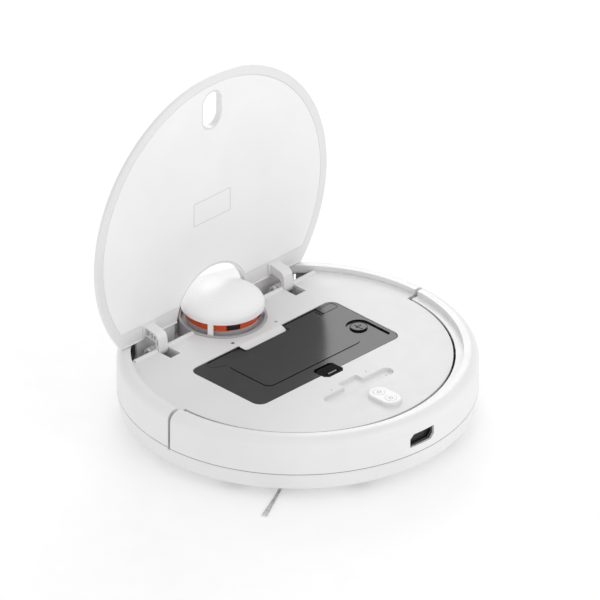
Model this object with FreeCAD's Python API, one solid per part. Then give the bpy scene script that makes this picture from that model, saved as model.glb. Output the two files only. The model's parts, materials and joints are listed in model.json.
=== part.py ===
import FreeCAD, Part
import math
import os

from FreeCAD import Vector as V

os.makedirs("parts", exist_ok=True)

# Round robot vacuum cleaner, lid standing open.  Millimetres, +Z up.
# Origin: on the floor, under the centre of the round body.
# Front (the bumper half) is -Y, +X is the robot's left, X = 0 is the plane of symmetry.

# ---- overall sizes ---------------------------------------------------------------
BODY_R = 175.0                  # outer radius of the bumper
REAR_R = BODY_R - 1.0           # outer radius of the fixed rear casing
RIM_TOP = 67.8                  # height of the flat rim round the deck
DECK_TOP = RIM_TOP - 5.4        # height of the deck
DECK_T = 2.8                    # deck plate thickness
WALL = 2.4                      # casing wall thickness
SEAM_Z = 27.2                   # seam below the bumper
SEAM_GROOVE = 0.8               # width and depth of the shadow line above that seam
CASING_LOW_Z = 12.0             # lower edge of the side casing
CASING_LOW_R = REAR_R - 2.5     # radius of that lower edge
CLEARANCE_Z = 10.0              # ground clearance of the flat bottom
FIT = 0.3                       # clearance of a seated, removable or touching piece
RUN = 0.05                      # radial running clearance of a shaft
ALL_Z = 200.0                   # taller than the body, for cuts right through it

# ---- rim, bumper and deck edge -----------------------------------------------------
RIM_IN_R = BODY_R - 14.4        # inner wall of the rim
RIM_FLAT_R = BODY_R - 9.6       # outer edge of the rim's flat top, where the shoulder starts
SHOULDER_R = BODY_R - RIM_FLAT_R
SHOULDER_Z = RIM_TOP - SHOULDER_R
LEDGE_R = RIM_IN_R - 4.6        # inner edge of the ledge that carries the deck at the rear
FRONT_DECK_R = BODY_R - 24.6    # deck edge behind the bumper
FRONT_WALL_R = BODY_R - 28.5    # inside of the wall behind the bumper
BUMPER_TRAVEL = 2.0             # how far the bumper is pushed in
BUMPER_END_GAP = 4.0            # gap between bumper end and rear casing
REAR_END_Y = 1.5                # where the rear casing's wall ends at each side
WINDOW_X = -3.6                 # sensor window in the bumper: middle, size and cut corners
WINDOW_Z = 44.0
WINDOW_LONG = 31.4
WINDOW_HIGH = 13.6
WINDOW_CUT = 4.4
VENT_COUNT = 11                 # air outlet slots in the rear wall
VENT_DEG = -22.0                # place of the first slot, from straight back
VENT_STEP_DEG = -2.2

# ---- dust bin ----------------------------------------------------------------------
BIN_X = 96.3                    # half width of the bin opening
BIN_REAR_Y = 50.6
BIN_FRONT_Y = -46.0
BIN_FLOOR_Z = 34.0
BIN_CORNER_R = 10.0
BIN_TOP_Z = DECK_TOP - 0.4      # top of the bin's cover
BIN_SPLIT_Z = DECK_TOP - 3.4    # joint between cover and tub
BIN_WALL = 1.6
BAY_WALL = 1.8                  # wall of the bay that the bin sits in
NOTCH_X = 29.0                  # half width of the finger notch at the bin's rear edge
NOTCH_Y = 9.5                   # depth of the finger notch
SCOOP_DEPTH = 2.2               # depth of the scoop behind the notch
LATCH_X = 12.5                  # half width of the latch
LATCH_FRONT_Y = -53.0
LATCH_REAR_Y = -36.0
LATCH_TRAVEL = 3.0
PLUG_X = BIN_X - 16.0           # filler plug
PLUG_Y = -3.0
FILTER_X0 = 28.0                # outlet filter
FILTER_X1 = 72.0
FILTER_FOLDS = 12

# ---- laser tower -------------------------------------------------------------------
TOWER_Y = 101.8
TOWER_CAP_R = 40.6
TOWER_CAP_LOW_Z = RIM_TOP + 7.8
TOWER_TOP_Z = RIM_TOP + 27.2
TOWER_BASE_R = 42.9
TOWER_FLOOR_Z = DECK_TOP - 2.4  # sunken floor under the turret
BAND_LOW_Z = RIM_TOP - 0.7      # lower edge of the turret's coloured band
TURRET_R = 36.5
TURRET_SHAFT_R = 8.0
POST_DEG = (88.0, 208.0, 328.0)
LENS_DEG = (-118.0, -60.0)      # laser and receiver windows
BELT_Z = TOWER_FLOOR_Z - 15.5   # underside of both pulleys
PULLEY_H = 4.2
BELT_H = 1.4
TURRET_PULLEY_R = 11.0          # groove radius
MOTOR_PULLEY_R = 3.0
LASER_MOTOR_X = 33.0
LASER_MOTOR_Y = TOWER_Y - 12.0

# ---- lid ---------------------------------------------------------------------------
LID_R = BODY_R - 18.5
LID_T = 5.4                     # shell thickness at the rim of the lid
LID_CROWN = 1.8                 # extra height at the middle
LID_SKIN = 2.2                  # thickness of the lid's outer skin
LID_PANEL_T = 1.4               # thickness of the inner panel
LID_UNDER_Z = RIM_TOP - 0.8     # underside of the lid when it is shut
LID_PANEL_R = LID_R - 9.35      # seam round the inner panel
LID_PANEL_CHORD = 81.3          # straight lower edge of the inner panel
LID_CHORD = 98.0                # straight rear edge of the lid, from its centre
TONGUE_CHORD = 119.0            # rear edge of the two tongues that drop into the trough
TONGUE_X = 98.0                 # outer side of a tongue
TONGUE_STEP = 3.0               # how far the tongues lie behind the lid's inner face
LIP_R = 0.9                     # bead along the lid's straight edge
TOWER_CUT_R = 47.5              # half-round cut in the lid that clears the tower
HINGE_Y = 108.0
HINGE_Z = DECK_TOP - 4.1
HINGE_PIN_R = 2.0
ARM_X = 85.0                    # centre of each hinge arm
ARM_SLOT_W = 13.6
ARM_W = ARM_SLOT_W - 1.6
ARM_CELLS = (                   # pockets in an arm's outer side, from the pin: rear, front, low, high
    (1.4, 7.2, 15.2, 21.4), (-2.6, 0.4, 14.6, 20.2), (-6.4, -3.6, 14.2, 18.6), (-9.4, -7.4, 9.6, 15.4))

# ---- trough behind the ridge -------------------------------------------------------
RIDGE_Y = 99.5
RIDGE_W = 5.0
RIDGE_TOP = DECK_TOP + 2.1
TROUGH_FRONT_Y = 102.0
TROUGH_REAR_Y = 128.0
TROUGH_FLOOR_Z = DECK_TOP - 15.9
TROUGH_X = 122.0
TROUGH_WALL = 1.6
POCKET_FLOOR_Z = TROUGH_FLOOR_Z - 4.0
ARM_SLOT_FRONT_Y = 80.4
ARM_SLOT_REAR_Y = TROUGH_REAR_Y - 3.0

# ---- buttons and tool recess -------------------------------------------------------
PAD_Y = -119.9
PAD_LONG = 36.0
PAD_WIDE = 21.5
PAD_PROUD = 3.9
PAD_NECK_INSET = 1.5            # the pad's neck is smaller than the pad by this much all round
BUTTON_R = 5.6
BUTTON_PITCH = 16.0
BUTTON_TRAVEL = 0.8
BUTTON_SEAT_Z = DECK_TOP - 2.0
BUTTON_BOARD_Z = DECK_TOP - 10.8
BOARD_T = 1.6                   # circuit board thickness
SLOT_CENTRE = -PAD_Y - 0.2      # centre of the lid's slot, from the lid centre
SLOT_LONG = PAD_LONG + 2.6
SLOT_WIDE = PAD_WIDE + 2.4
TOOL_X = 44.5                   # half length of the cleaning tool's recess
TOOL_FRONT_Y = -91.0
TOOL_REAR_Y = -77.0
TOOL_DEPTH = 3.4
TOOL_WALL = 1.6
TOOL_NOTCH_X = 12.5
TOOL_NOTCH_Y = -67.5

# ---- screws ------------------------------------------------------------------------
DECK_SCREW_X = 29.2
DECK_SCREW_Y = 58.7
BOTTOM_SCREWS = ((-40, 120), (40, 120), (-120, 75), (120, 75), (-60, -125), (60, -125), (-128, -60), (128, -60))

# ---- wheels ------------------------------------------------------------------------
WHEEL_R = 28.0
WHEEL_W = 18.0
WHEEL_X = 121.0
WHEEL_Y = 22.0
TYRE_T = 5.5
TREADS = 30
AXLE_R = 4.0
WHEEL_PIVOT_Y = WHEEL_Y - 36.0
WHEEL_PIVOT_Z = 36.0
PIVOT_PIN_R = 2.5
WELL_WALL = 1.8
WELL_X0 = WHEEL_X - WHEEL_W / 2 - 12.6
WELL_X1 = WHEEL_X + WHEEL_W / 2 + 4.6
WELL_Y0 = WHEEL_PIVOT_Y - 10.0
WELL_Y1 = WHEEL_Y + WHEEL_R + 3.0
CASTER_Y = -121.0
CASTER_R = 12.5
CASTER_W = 15.0
CASTER_TRAIL = 5.0
CASTER_STEM_R = 3.0
CASTER_AXLE_R = 2.0
CASTER_TOP_Z = 2 * CASTER_R + 6.0
CUP_IN_R = 20.5

# ---- brushes -----------------------------------------------------------------------
BRUSH_Y = -70.0
BRUSH_Z = 22.5
BRUSH_R = 19.5
BRUSH_CORE_R = 9.0
BRUSH_X0 = -60.0
BRUSH_X1 = 83.0
BRUSH_SHAFT_R = 3.0
BRUSH_STRIPS = 6
BAY_R = BRUSH_R + 3.0
BAY_X0 = BRUSH_X0 - 5.0
BAY_X1 = BRUSH_X1 + 12.0
GEAR_MODULE = 1.0
GEAR_TEETH = 18
PINION_TEETH = 12
PINION_SHAFT_R = 1.5
PINION_R = GEAR_MODULE * PINION_TEETH / 2 + GEAR_MODULE
CENTRE_DISTANCE = GEAR_MODULE * (GEAR_TEETH + PINION_TEETH) / 2 + 0.15
PINION_Y = BRUSH_Y + CENTRE_DISTANCE * math.cos(math.radians(45))
PINION_Z = BRUSH_Z + CENTRE_DISTANCE * math.sin(math.radians(45))
GEAR_X0 = BRUSH_X1 + 2.5
GEAR_X1 = BRUSH_X1 + 8.0
SIDE_BRUSH_X = -95.0
SIDE_BRUSH_Y = -85.0
SIDE_BRUSH_LONG = 83.0
SIDE_ARM_LONG = 26.0
SIDE_SHAFT_R = 2.5
SIDE_BRUSH_DEG = (-152.0, -32.0, 88.0)

# ---- power, sensors and fan --------------------------------------------------------
BATTERY_X = 70.0
BATTERY_Y = 38.0
CONTACT_X = 34.0                # charging contacts at the front of the underside
CONTACT_Y = -142.5
CLIFF_DEG = (-158.0, -112.0, -68.0, -22.0)
CLIFF_R = BODY_R - 20.0
SWITCH_DEG = (-122.0, -58.0)
SPRING_DEG = (-105.0, -75.0)
FAN_X = 48.0
FAN_Y = 92.0
FAN_R = 24.0
FAN_LOW_Z = 14.0
FAN_HIGH_Z = 40.0
FAN_SHAFT_R = 2.0
FAN_BLADES = 9
IMPELLER_Z = 22.0
SPEAKER_X = -52.0
SPEAKER_Y = 136.0


# ---- helpers -------------------------------------------------------------------
def box(x0, x1, y0, y1, z0, z1):
    """Box between two corners."""
    return Part.makeBox(x1 - x0, y1 - y0, z1 - z0, V(x0, y0, z0))


def cyl(r, x, y, z0, z1):
    """Upright cylinder."""
    return Part.makeCylinder(r, z1 - z0, V(x, y, z0))


def tube(r_in, r_out, x, y, z0, z1):
    """Upright tube."""
    return cyl(r_out, x, y, z0, z1).cut(cyl(r_in, x, y, z0 - 1, z1 + 1))


def rod_x(r, x0, x1, y, z):
    """Cylinder along X."""
    return Part.makeCylinder(r, x1 - x0, V(x0, y, z), V(1, 0, 0))


def ring_x(r_in, r_out, x0, x1, y, z):
    """Tube along X."""
    return rod_x(r_out, x0, x1, y, z).cut(rod_x(r_in, x0 - 1, x1 + 1, y, z))


def fuse(shapes):
    """One solid from several, with the seams between them removed."""
    first = shapes[0]
    return first.fuse(shapes[1:]).removeSplitter() if len(shapes) > 1 else first


def group(shapes):
    """Separate solids in one node."""
    return Part.makeCompound(shapes)


def mirror(shape):
    """Copy on the other side of X = 0."""
    return shape.mirror(V(0, 0, 0), V(1, 0, 0))


def poly_face(points, plane):
    """Face from points given as pairs on the plane XY, XZ or YZ."""
    place = {"XY": lambda a, b: V(a, b, 0), "XZ": lambda a, b: V(a, 0, b), "YZ": lambda a, b: V(0, a, b)}[plane]
    vectors = [place(a, b) for a, b in points]
    return Part.Face(Part.makePolygon(vectors + vectors[:1]))


def spin(points, x=0.0, y=0.0, degrees=360):
    """Solid of revolution about an upright axis, from pairs (radius, height)."""
    solid = poly_face(points, "XZ").revolve(V(0, 0, 0), V(0, 0, 1), degrees)
    solid.translate(V(x, y, 0))
    return solid


def arc_points(cx, cy, r, start, end, steps):
    """Points along a circular arc, angles in degrees."""
    angles = [math.radians(start + (end - start) * i / steps) for i in range(steps + 1)]
    return [(cx + r * math.cos(a), cy + r * math.sin(a)) for a in angles]


def rounded(x0, x1, y0, y1, z0, z1, r):
    """Box with its upright edges rounded."""
    block = box(x0, x1, y0, y1, z0, z1)
    upright = [e for e in block.Edges if abs(e.Vertexes[0].Z - e.Vertexes[-1].Z) > 0.5 * (z1 - z0)]
    return block.makeFillet(min(r, 0.49 * min(x1 - x0, y1 - y0)), upright)


def pill_y(x, y, wide, long, z0, z1):
    """Upright prism with a stadium section, long along Y."""
    return rounded(x - wide / 2, x + wide / 2, y - long / 2, y + long / 2, z0, z1, wide / 2 - 0.01)


def pill_x(x, y, long, wide, z0, z1):
    """Upright prism with a stadium section, long along X."""
    return rounded(x - long / 2, x + long / 2, y - wide / 2, y + wide / 2, z0, z1, wide / 2 - 0.01)


def front_half(y_end):
    """Everything in front of a plane across Y."""
    return box(-300, 300, -300, y_end, -50, 300)


def rear_half(y_end):
    """Everything behind a plane across Y."""
    return box(-300, 300, y_end, 300, -50, 300)


# ---- shared profiles ------------------------------------------------------------
def shoulder(r_out, inset):
    """Quarter-round shoulder from the side wall up to the rim's flat top, moved in by inset."""
    reach = r_out - RIM_FLAT_R
    quarter = arc_points(0, 0, 1, 0, 90, 8)
    return [(RIM_FLAT_R + (reach - inset) * a, SHOULDER_Z + (SHOULDER_R - inset) * b) for a, b in quarter]


def rim_profile(r_out, low_z):
    """Closed profile of the hollow rim: side wall, shoulder, flat top and inner rim wall."""
    outer = [(r_out, low_z)] + shoulder(r_out, 0) + [(RIM_IN_R, RIM_TOP), (RIM_IN_R, DECK_TOP - DECK_T)]
    inner = [(RIM_IN_R + WALL, DECK_TOP - DECK_T), (RIM_IN_R + WALL, RIM_TOP - WALL)]
    return outer + inner + shoulder(r_out, WALL)[::-1] + [(r_out - WALL, low_z)]


# ---- outer casing ------------------------------------------------------------------
def side_casing():
    """Lower ring all round, rear wall with its rim, the deck ledge and the rear crescent."""
    ring = spin([(CASING_LOW_R, CASING_LOW_Z), (REAR_R, SEAM_Z), (REAR_R - WALL, SEAM_Z),
                 (CASING_LOW_R - WALL, CASING_LOW_Z)])
    shelf = tube(REAR_R - 12, REAR_R - WALL / 2, 0, 0, SEAM_Z - 2, SEAM_Z)
    wall = spin(rim_profile(REAR_R, SEAM_Z - 0.5)).common(rear_half(REAR_END_Y))
    ledge = tube(LEDGE_R, RIM_IN_R + WALL, 0, 0, DECK_TOP - DECK_T - WALL, DECK_TOP - DECK_T)
    trough_gap = box(-TROUGH_X - 4, TROUGH_X + 4, RIDGE_Y - 4.5, REAR_R, SEAM_Z, ALL_Z)
    ledge = ledge.common(rear_half(REAR_END_Y)).cut(trough_gap)
    end_plates = [end_plate(side) for side in (-1, 1)]
    crescent = cyl(RIM_IN_R + 0.5, 0, 0, RIM_TOP - WALL, RIM_TOP).common(rear_half(TROUGH_REAR_Y))
    crescent = crescent.cut(cyl(TOWER_BASE_R + FIT, 0, TOWER_Y, 0, ALL_Z))
    casing = fuse([ring, shelf, wall, ledge, crescent] + end_plates)
    return casing.cut(group(exhaust_slots())).cut(seam_groove(REAR_R))


def end_plate(side):
    """Flat wall that closes the open end of the rear casing, beside the bumper gap."""
    section = [(RIM_IN_R, SEAM_Z - 1), (REAR_R, SEAM_Z - 1)] + shoulder(REAR_R, 0) + [(RIM_IN_R, RIM_TOP)]
    plate = poly_face([(side * a, b) for a, b in section], "XZ").extrude(V(0, WALL, 0))
    plate.translate(V(0, REAR_END_Y, 0))
    return plate.common(cyl(REAR_R, 0, 0, 0, ALL_Z))


def exhaust_slots():
    """Air outlet: upright slots through the rear wall on the fan's side."""
    slots = []
    for index in range(VENT_COUNT):
        slot = rounded(-1.1, 1.1, -10, 10, 32, 52, 1.0)
        slot.translate(V(0, REAR_R, 0))
        slot.rotate(V(0, 0, 0), V(0, 0, 1), VENT_DEG + VENT_STEP_DEG * index)
        slots.append(slot)
    return slots


def bumper_shell():
    """Front half of the side wall with its rim and the flange level with the deck."""
    low_z = SEAM_Z + 0.4
    wall = spin(rim_profile(BODY_R, low_z))
    flange_in = FRONT_DECK_R + BUMPER_TRAVEL + FIT + 0.1
    flange = tube(flange_in, RIM_IN_R + WALL, 0, 0, DECK_TOP - WALL, DECK_TOP - 0.2)
    foot = tube(BODY_R - 9, BODY_R - WALL / 2, 0, 0, low_z, low_z + 2)
    shell = fuse([wall, flange, foot]).common(front_half(REAR_END_Y - BUMPER_END_GAP))
    window = window_outline(0.0, -BODY_R - 25, 75 - BODY_R)
    return shell.cut(window).cut(seam_groove(BODY_R))


def seam_groove(r_out):
    """Shadow line round the wall just above its lower edge."""
    return tube(r_out - SEAM_GROOVE, r_out + 2, 0, 0, SEAM_Z + 1.6, SEAM_Z + 1.6 + SEAM_GROOVE)


def window_outline(grow, y0, y1):
    """Six-sided sensor window: a parallelogram with its corners cut."""
    half_w = WINDOW_LONG / 2 + grow
    half_h = WINDOW_HIGH / 2 + grow
    cut = WINDOW_CUT
    points = [(-half_w, -half_h), (half_w - cut, -half_h), (half_w, -half_h + cut),
              (half_w, half_h), (-half_w + cut, half_h), (-half_w, half_h - cut)]
    prism = poly_face(points, "XZ").extrude(V(0, y1 - y0, 0))
    prism.translate(V(WINDOW_X, y0, WINDOW_Z))
    return prism


def window_frame():
    """Tray behind the window opening, with a lower lip."""
    outer = window_outline(1.6, 2.8 - BODY_R, 12 - BODY_R)
    hollow = window_outline(0.0, 2 - BODY_R, 10 - BODY_R)
    return outer.cut(hollow).cut(tube(BODY_R - WALL - 0.05, BODY_R + 75, 0, 0, 0, ALL_Z))


def window_lens():
    """Dark infrared lens at the back of the tray."""
    return window_outline(-0.3, 5.6 - BODY_R, 10 - BODY_R)


def deck_outline(z0, z1):
    """Deck disc: full radius behind the bumper ends, smaller in front of them."""
    rear = cyl(RIM_IN_R - FIT, 0, 0, z0, z1).common(rear_half(REAR_END_Y))
    front = cyl(FRONT_DECK_R, 0, 0, z0, z1).common(front_half(REAR_END_Y))
    return rear.fuse(front)


def bin_opening(grow, z0, z1):
    """Bin outline with the finger notch taken out of its rear edge."""
    outline = rounded(-BIN_X - grow, BIN_X + grow, BIN_FRONT_Y - grow, BIN_REAR_Y + grow, z0, z1, BIN_CORNER_R)
    notch = rounded(-NOTCH_X + grow, NOTCH_X - grow, BIN_REAR_Y - NOTCH_Y + grow, BIN_REAR_Y + 20, z0, z1, 5)
    return outline.cut(notch)


def latch_outline(grow, z0, z1):
    """Six-sided outline of the latch at the bin's front edge."""
    x = LATCH_X + grow
    y0 = LATCH_FRONT_Y - grow
    y1 = LATCH_REAR_Y + grow
    points = [(-x + 4, y0), (x - 4, y0), (x, y0 + 4), (x, y1 - 3), (x - 3, y1), (-x + 3, y1), (-x, y1 - 3),
              (-x, y0 + 4)]
    prism = poly_face(points, "XY").extrude(V(0, 0, z1 - z0))
    prism.translate(V(0, 0, z0))
    return prism


def tool_outline(grow, z0, z1):
    """Slot for the cleaning tool, with its thumb notch."""
    slot = pill_x(0, (TOOL_FRONT_Y + TOOL_REAR_Y) / 2, 2 * TOOL_X + 2 * grow,
                  TOOL_REAR_Y - TOOL_FRONT_Y + 2 * grow, z0, z1)
    notch = rounded(-TOOL_NOTCH_X - grow, TOOL_NOTCH_X + grow, TOOL_REAR_Y - 4, TOOL_NOTCH_Y + grow, z0, z1, 2.5)
    return fuse([slot, notch])


def arm_slots(grow, z0, z1, y0):
    """Openings for the two hinge arms."""
    half = ARM_SLOT_W / 2 + grow
    return [box(side * ARM_X - half, side * ARM_X + half, y0 - grow, ARM_SLOT_REAR_Y, z0, z1) for side in (-1, 1)]


def deck_cover():
    """Deck plate with the ridge, the tool recess, the arm slots and the opening over the trough."""
    plate = deck_outline(DECK_TOP - DECK_T, DECK_TOP)
    plate = plate.cut(box(-TROUGH_X, TROUGH_X, TROUGH_FRONT_Y, 300, 0, ALL_Z))
    ridge = rod_x(RIDGE_W / 2, -TROUGH_X, TROUGH_X, RIDGE_Y, RIDGE_TOP - RIDGE_W / 2)
    ridge = ridge.fuse(box(-TROUGH_X, TROUGH_X, RIDGE_Y - RIDGE_W / 2, RIDGE_Y + RIDGE_W / 2,
                           DECK_TOP - DECK_T, RIDGE_TOP - RIDGE_W / 2))
    recess = tool_outline(TOOL_WALL, DECK_TOP - TOOL_DEPTH - TOOL_WALL, DECK_TOP - 0.5)
    pad = box(-NOTCH_X, NOTCH_X, BIN_REAR_Y - NOTCH_Y, BIN_REAR_Y,
              DECK_TOP - DECK_T - SCOOP_DEPTH, DECK_TOP - DECK_T)
    body = fuse([plate, ridge, recess, pad])
    body = body.cut(tool_outline(0, DECK_TOP - TOOL_DEPTH, DECK_TOP + 1))
    body = body.cut(bin_opening(FIT, BIN_FLOOR_Z, ALL_Z)).cut(latch_outline(FIT + 0.2, BIN_FLOOR_Z, ALL_Z))
    body = body.cut(group(arm_slots(0, POCKET_FLOOR_Z, ALL_Z, ARM_SLOT_FRONT_Y)))
    body = body.cut(cyl(TOWER_BASE_R + FIT, 0, TOWER_Y, 0, ALL_Z))
    body = body.cut(pill_y(0, PAD_Y, PAD_WIDE - 2 * PAD_NECK_INSET, PAD_LONG - 2 * PAD_NECK_INSET, 0, ALL_Z))
    body = body.cut(group([notch_scoop()] + deck_screw_holes()))
    return body.common(cyl(RIM_IN_R - FIT, 0, 0, 0, ALL_Z))


def hinge_trough():
    """Channel under the deck behind the ridge, with pockets below the hinge arms that are open at the front."""
    t = TROUGH_WALL
    top = DECK_TOP - DECK_T
    outer = box(-TROUGH_X - t, TROUGH_X + t, TROUGH_FRONT_Y - t, TROUGH_REAR_Y + t, TROUGH_FLOOR_Z - t, top)
    half = ARM_SLOT_W / 2
    pockets = [box(side * ARM_X - half - t, side * ARM_X + half + t, ARM_SLOT_FRONT_Y - t, ARM_SLOT_REAR_Y + t,
                   POCKET_FLOOR_Z - t, top) for side in (-1, 1)]
    hollow = box(-TROUGH_X, TROUGH_X, TROUGH_FRONT_Y, TROUGH_REAR_Y, TROUGH_FLOOR_Z, ALL_Z)
    tray = fuse([outer] + pockets).cut(hollow).common(cyl(LEDGE_R + 2, 0, 0, 0, top - 0.2))
    tray = tray.cut(group(arm_slots(0, POCKET_FLOOR_Z, ALL_Z, ARM_SLOT_FRONT_Y)))
    well_rear_y = RIDGE_Y - RIDGE_W / 2
    front_wells = [box(side * ARM_X - half, side * ARM_X + half, ARM_SLOT_FRONT_Y, well_rear_y, 0, ALL_Z)
                   for side in (-1, 1)]
    return tray.cut(group(front_wells)).cut(cyl(TOWER_BASE_R + FIT, 0, TOWER_Y, 0, ALL_Z))


def notch_scoop():
    """Sloping finger scoop in the deck behind the bin, deepest at the bin's edge."""
    radius = (NOTCH_Y ** 2 + SCOOP_DEPTH ** 2) / (2 * SCOOP_DEPTH)
    edge_y = BIN_REAR_Y - NOTCH_Y
    return rod_x(radius, -NOTCH_X, NOTCH_X, edge_y, DECK_TOP - SCOOP_DEPTH + radius)


def deck_screw_holes():
    """Two screw holes beside the tower."""
    return [cyl(1.6 + FIT, side * DECK_SCREW_X, DECK_SCREW_Y, DECK_TOP - 1.2, DECK_TOP + 1) for side in (-1, 1)]


def deck_screws():
    """Two small screws that hold the deck."""
    screws = []
    for side in (-1, 1):
        head = cyl(1.6, side * DECK_SCREW_X, DECK_SCREW_Y, DECK_TOP - 1.2, DECK_TOP - 0.2)
        socket = cyl(0.7, side * DECK_SCREW_X, DECK_SCREW_Y, DECK_TOP - 0.8, DECK_TOP)
        screws.append(head.cut(socket))
    return group(screws)


# ---- bottom chassis -------------------------------------------------------------------
def bottom_chassis():
    """Bottom pan with its wells, and the wall behind the bumper."""
    edge_r = CASING_LOW_R - WALL - FIT
    high_z = CASING_LOW_Z + 3
    body = spin([(0, CLEARANCE_Z), (edge_r - 7.8, CLEARANCE_Z), (edge_r, CASING_LOW_Z), (edge_r, high_z),
                 (edge_r - 1.8, high_z), (edge_r - 8.8, CLEARANCE_Z + WALL), (0, CLEARANCE_Z + WALL)])
    front_wall = tube(FRONT_WALL_R, FRONT_WALL_R + WALL, 0, 0, CLEARANCE_Z + 1, DECK_TOP - DECK_T)
    front_wall = front_wall.common(front_half(REAR_END_Y))
    body = fuse([body, front_wall])
    for side in (-1, 1):
        x0, x1 = sorted((side * WELL_X0, side * WELL_X1))
        body = body.cut(box(x0, x1, WELL_Y0, WELL_Y1, 0, DECK_TOP - DECK_T))
        body = body.cut(contact_block(side, 0, CLEARANCE_Z + 5, 0))
    body = body.cut(box(BAY_X0, BAY_X1, BRUSH_Y - BAY_R, BRUSH_Y + BAY_R, 0, 20))
    body = body.cut(cyl(CUP_IN_R, 0, CASTER_Y, 0, 20))
    body = body.cut(box(-BATTERY_X - 4, BATTERY_X + 4, -BATTERY_Y - 3, BATTERY_Y + 3, 0, CLEARANCE_Z + 2))
    body = body.cut(box(-BATTERY_X - 1, BATTERY_X + 1, -BATTERY_Y - 1, BATTERY_Y + 1, 0, 20))
    body = body.cut(cyl(14, SIDE_BRUSH_X, SIDE_BRUSH_Y, 0, 20))
    for degrees in CLIFF_DEG:
        body = body.cut(cliff_block(degrees, 0.0, 0, CLEARANCE_Z + 4))
    return body.cut(group(bottom_screw_holes()))


def cliff_block(degrees, shrink, z0, z1):
    """Rounded block at the place of one drop sensor."""
    block = rounded(-11 + shrink, 11 - shrink, -4.5 + shrink, 4.5 - shrink, z0, z1, 3)
    block.translate(V(0, -CLIFF_R, 0))
    block.rotate(V(0, 0, 0), V(0, 0, 1), degrees + 90)
    return block


def cliff_sensors():
    """Dark windows of the four drop sensors."""
    return group([cliff_block(d, 0.15, CLEARANCE_Z - 0.3, CLEARANCE_Z + 3.0) for d in CLIFF_DEG])


def bottom_screw_holes():
    """Counterbored holes for the bottom screws."""
    return [cyl(3.3, x, y, CLEARANCE_Z - 1, CLEARANCE_Z + 1.4) for x, y in BOTTOM_SCREWS]


def bottom_screws():
    """Cross-head screws that hold the bottom on."""
    screws = []
    for x, y in BOTTOM_SCREWS:
        head = cyl(3.0, x, y, CLEARANCE_Z + 0.4, CLEARANCE_Z + 1.4)
        cross = box(x - 2, x + 2, y - 0.4, y + 0.4, CLEARANCE_Z, CLEARANCE_Z + 1.0)
        cross = cross.fuse(box(x - 0.4, x + 0.4, y - 2, y + 2, CLEARANCE_Z, CLEARANCE_Z + 1.0))
        screws.append(head.cut(cross))
    return group(screws)


def bin_bay():
    """Tub under the deck that the dust bin sits in, with its air inlet and outlet."""
    t = BAY_WALL
    gap = FIT + 0.6
    x = BIN_X - 0.4 + gap
    y0 = BIN_FRONT_Y + 0.4 - gap
    y1 = BIN_REAR_Y + gap
    low = BIN_FLOOR_Z - 0.6
    outer = box(-x - t, x + t, y0 - t, y1 + t, low - t, DECK_TOP - DECK_T)
    inner = box(-x, x, y0, y1, low, ALL_Z)
    inlet = box(-38, 38, y0 - 5, y0 + 5, low + 3, low + 15)
    outlet = box(30, 70, y1 - 5, y1 + 5, low + 1, low + 12)
    latch_room = latch_outline(FIT + 1.5, DECK_TOP - 12, ALL_Z)
    return outer.cut(inner).cut(inlet).cut(outlet).cut(latch_room)


def wheel_housing(side):
    """Open-bottomed box round one wheel, with the pivot bearings."""
    t = WELL_WALL
    top = DECK_TOP - DECK_T - 0.2
    outer = box(WELL_X0, WELL_X1, WELL_Y0, WELL_Y1, CLEARANCE_Z, top)
    inner = box(WELL_X0 + t, WELL_X1 - t, WELL_Y0 + t, WELL_Y1 - t, 0, top - t)
    housing = outer.cut(inner).common(cyl(FRONT_WALL_R - FIT, 0, 0, 0, ALL_Z))
    return housing if side > 0 else mirror(housing)


def wheel_pivot_pins():
    """Steel pins that carry the two wheel arms."""
    pin = rod_x(PIVOT_PIN_R, WELL_X0 + WELL_WALL, WELL_X1 - WELL_WALL - 0.4, WHEEL_PIVOT_Y, WHEEL_PIVOT_Z)
    return group([pin, mirror(pin)])


def suspension_springs():
    """Torsion springs round the pivot pins, shown as their coiled envelope."""
    spring = ring_x(3.2, 5.4, WELL_X0 + 15.0, WELL_X0 + 24.0, WHEEL_PIVOT_Y, WHEEL_PIVOT_Z)
    return [spring, mirror(spring)]


def wheel_arm(side):
    """Trailing arm with the sealed wheel gearbox, and the axle stub."""
    x0 = WELL_X0 + WELL_WALL + 0.6
    x1 = WHEEL_X - WHEEL_W / 2 - 0.8
    pivot = rod_x(7, x0, x1 + 3, WHEEL_PIVOT_Y, WHEEL_PIVOT_Z)
    case = rod_x(15, x0, x1, WHEEL_Y, WHEEL_R)
    beam = box(x0, x1, WHEEL_PIVOT_Y, WHEEL_Y, WHEEL_R - 9, WHEEL_PIVOT_Z + 7)
    axle = rod_x(AXLE_R, x1 - 1, WHEEL_X + WHEEL_W / 2 + 1, WHEEL_Y, WHEEL_R)
    arm = fuse([pivot, case, beam, axle])
    arm = arm.cut(rod_x(PIVOT_PIN_R + RUN, 0, 200, WHEEL_PIVOT_Y, WHEEL_PIVOT_Z))
    return arm if side > 0 else mirror(arm)


def wheel_hub(side):
    """Wheel hub with spokes cut into its outer face."""
    x0 = WHEEL_X - WHEEL_W / 2
    x1 = WHEEL_X + WHEEL_W / 2
    hub = rod_x(WHEEL_R - TYRE_T, x0, x1, WHEEL_Y, WHEEL_R).cut(rod_x(AXLE_R + RUN, 0, 200, WHEEL_Y, WHEEL_R))
    hub = hub.cut(ring_x(9, WHEEL_R - TYRE_T - 3, x1 - 3, x1 + 1, WHEEL_Y, WHEEL_R))
    spokes = [hub_spoke(60 * i, x1) for i in range(6)]
    hub = fuse([hub] + spokes)
    return hub if side > 0 else mirror(hub)


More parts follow.
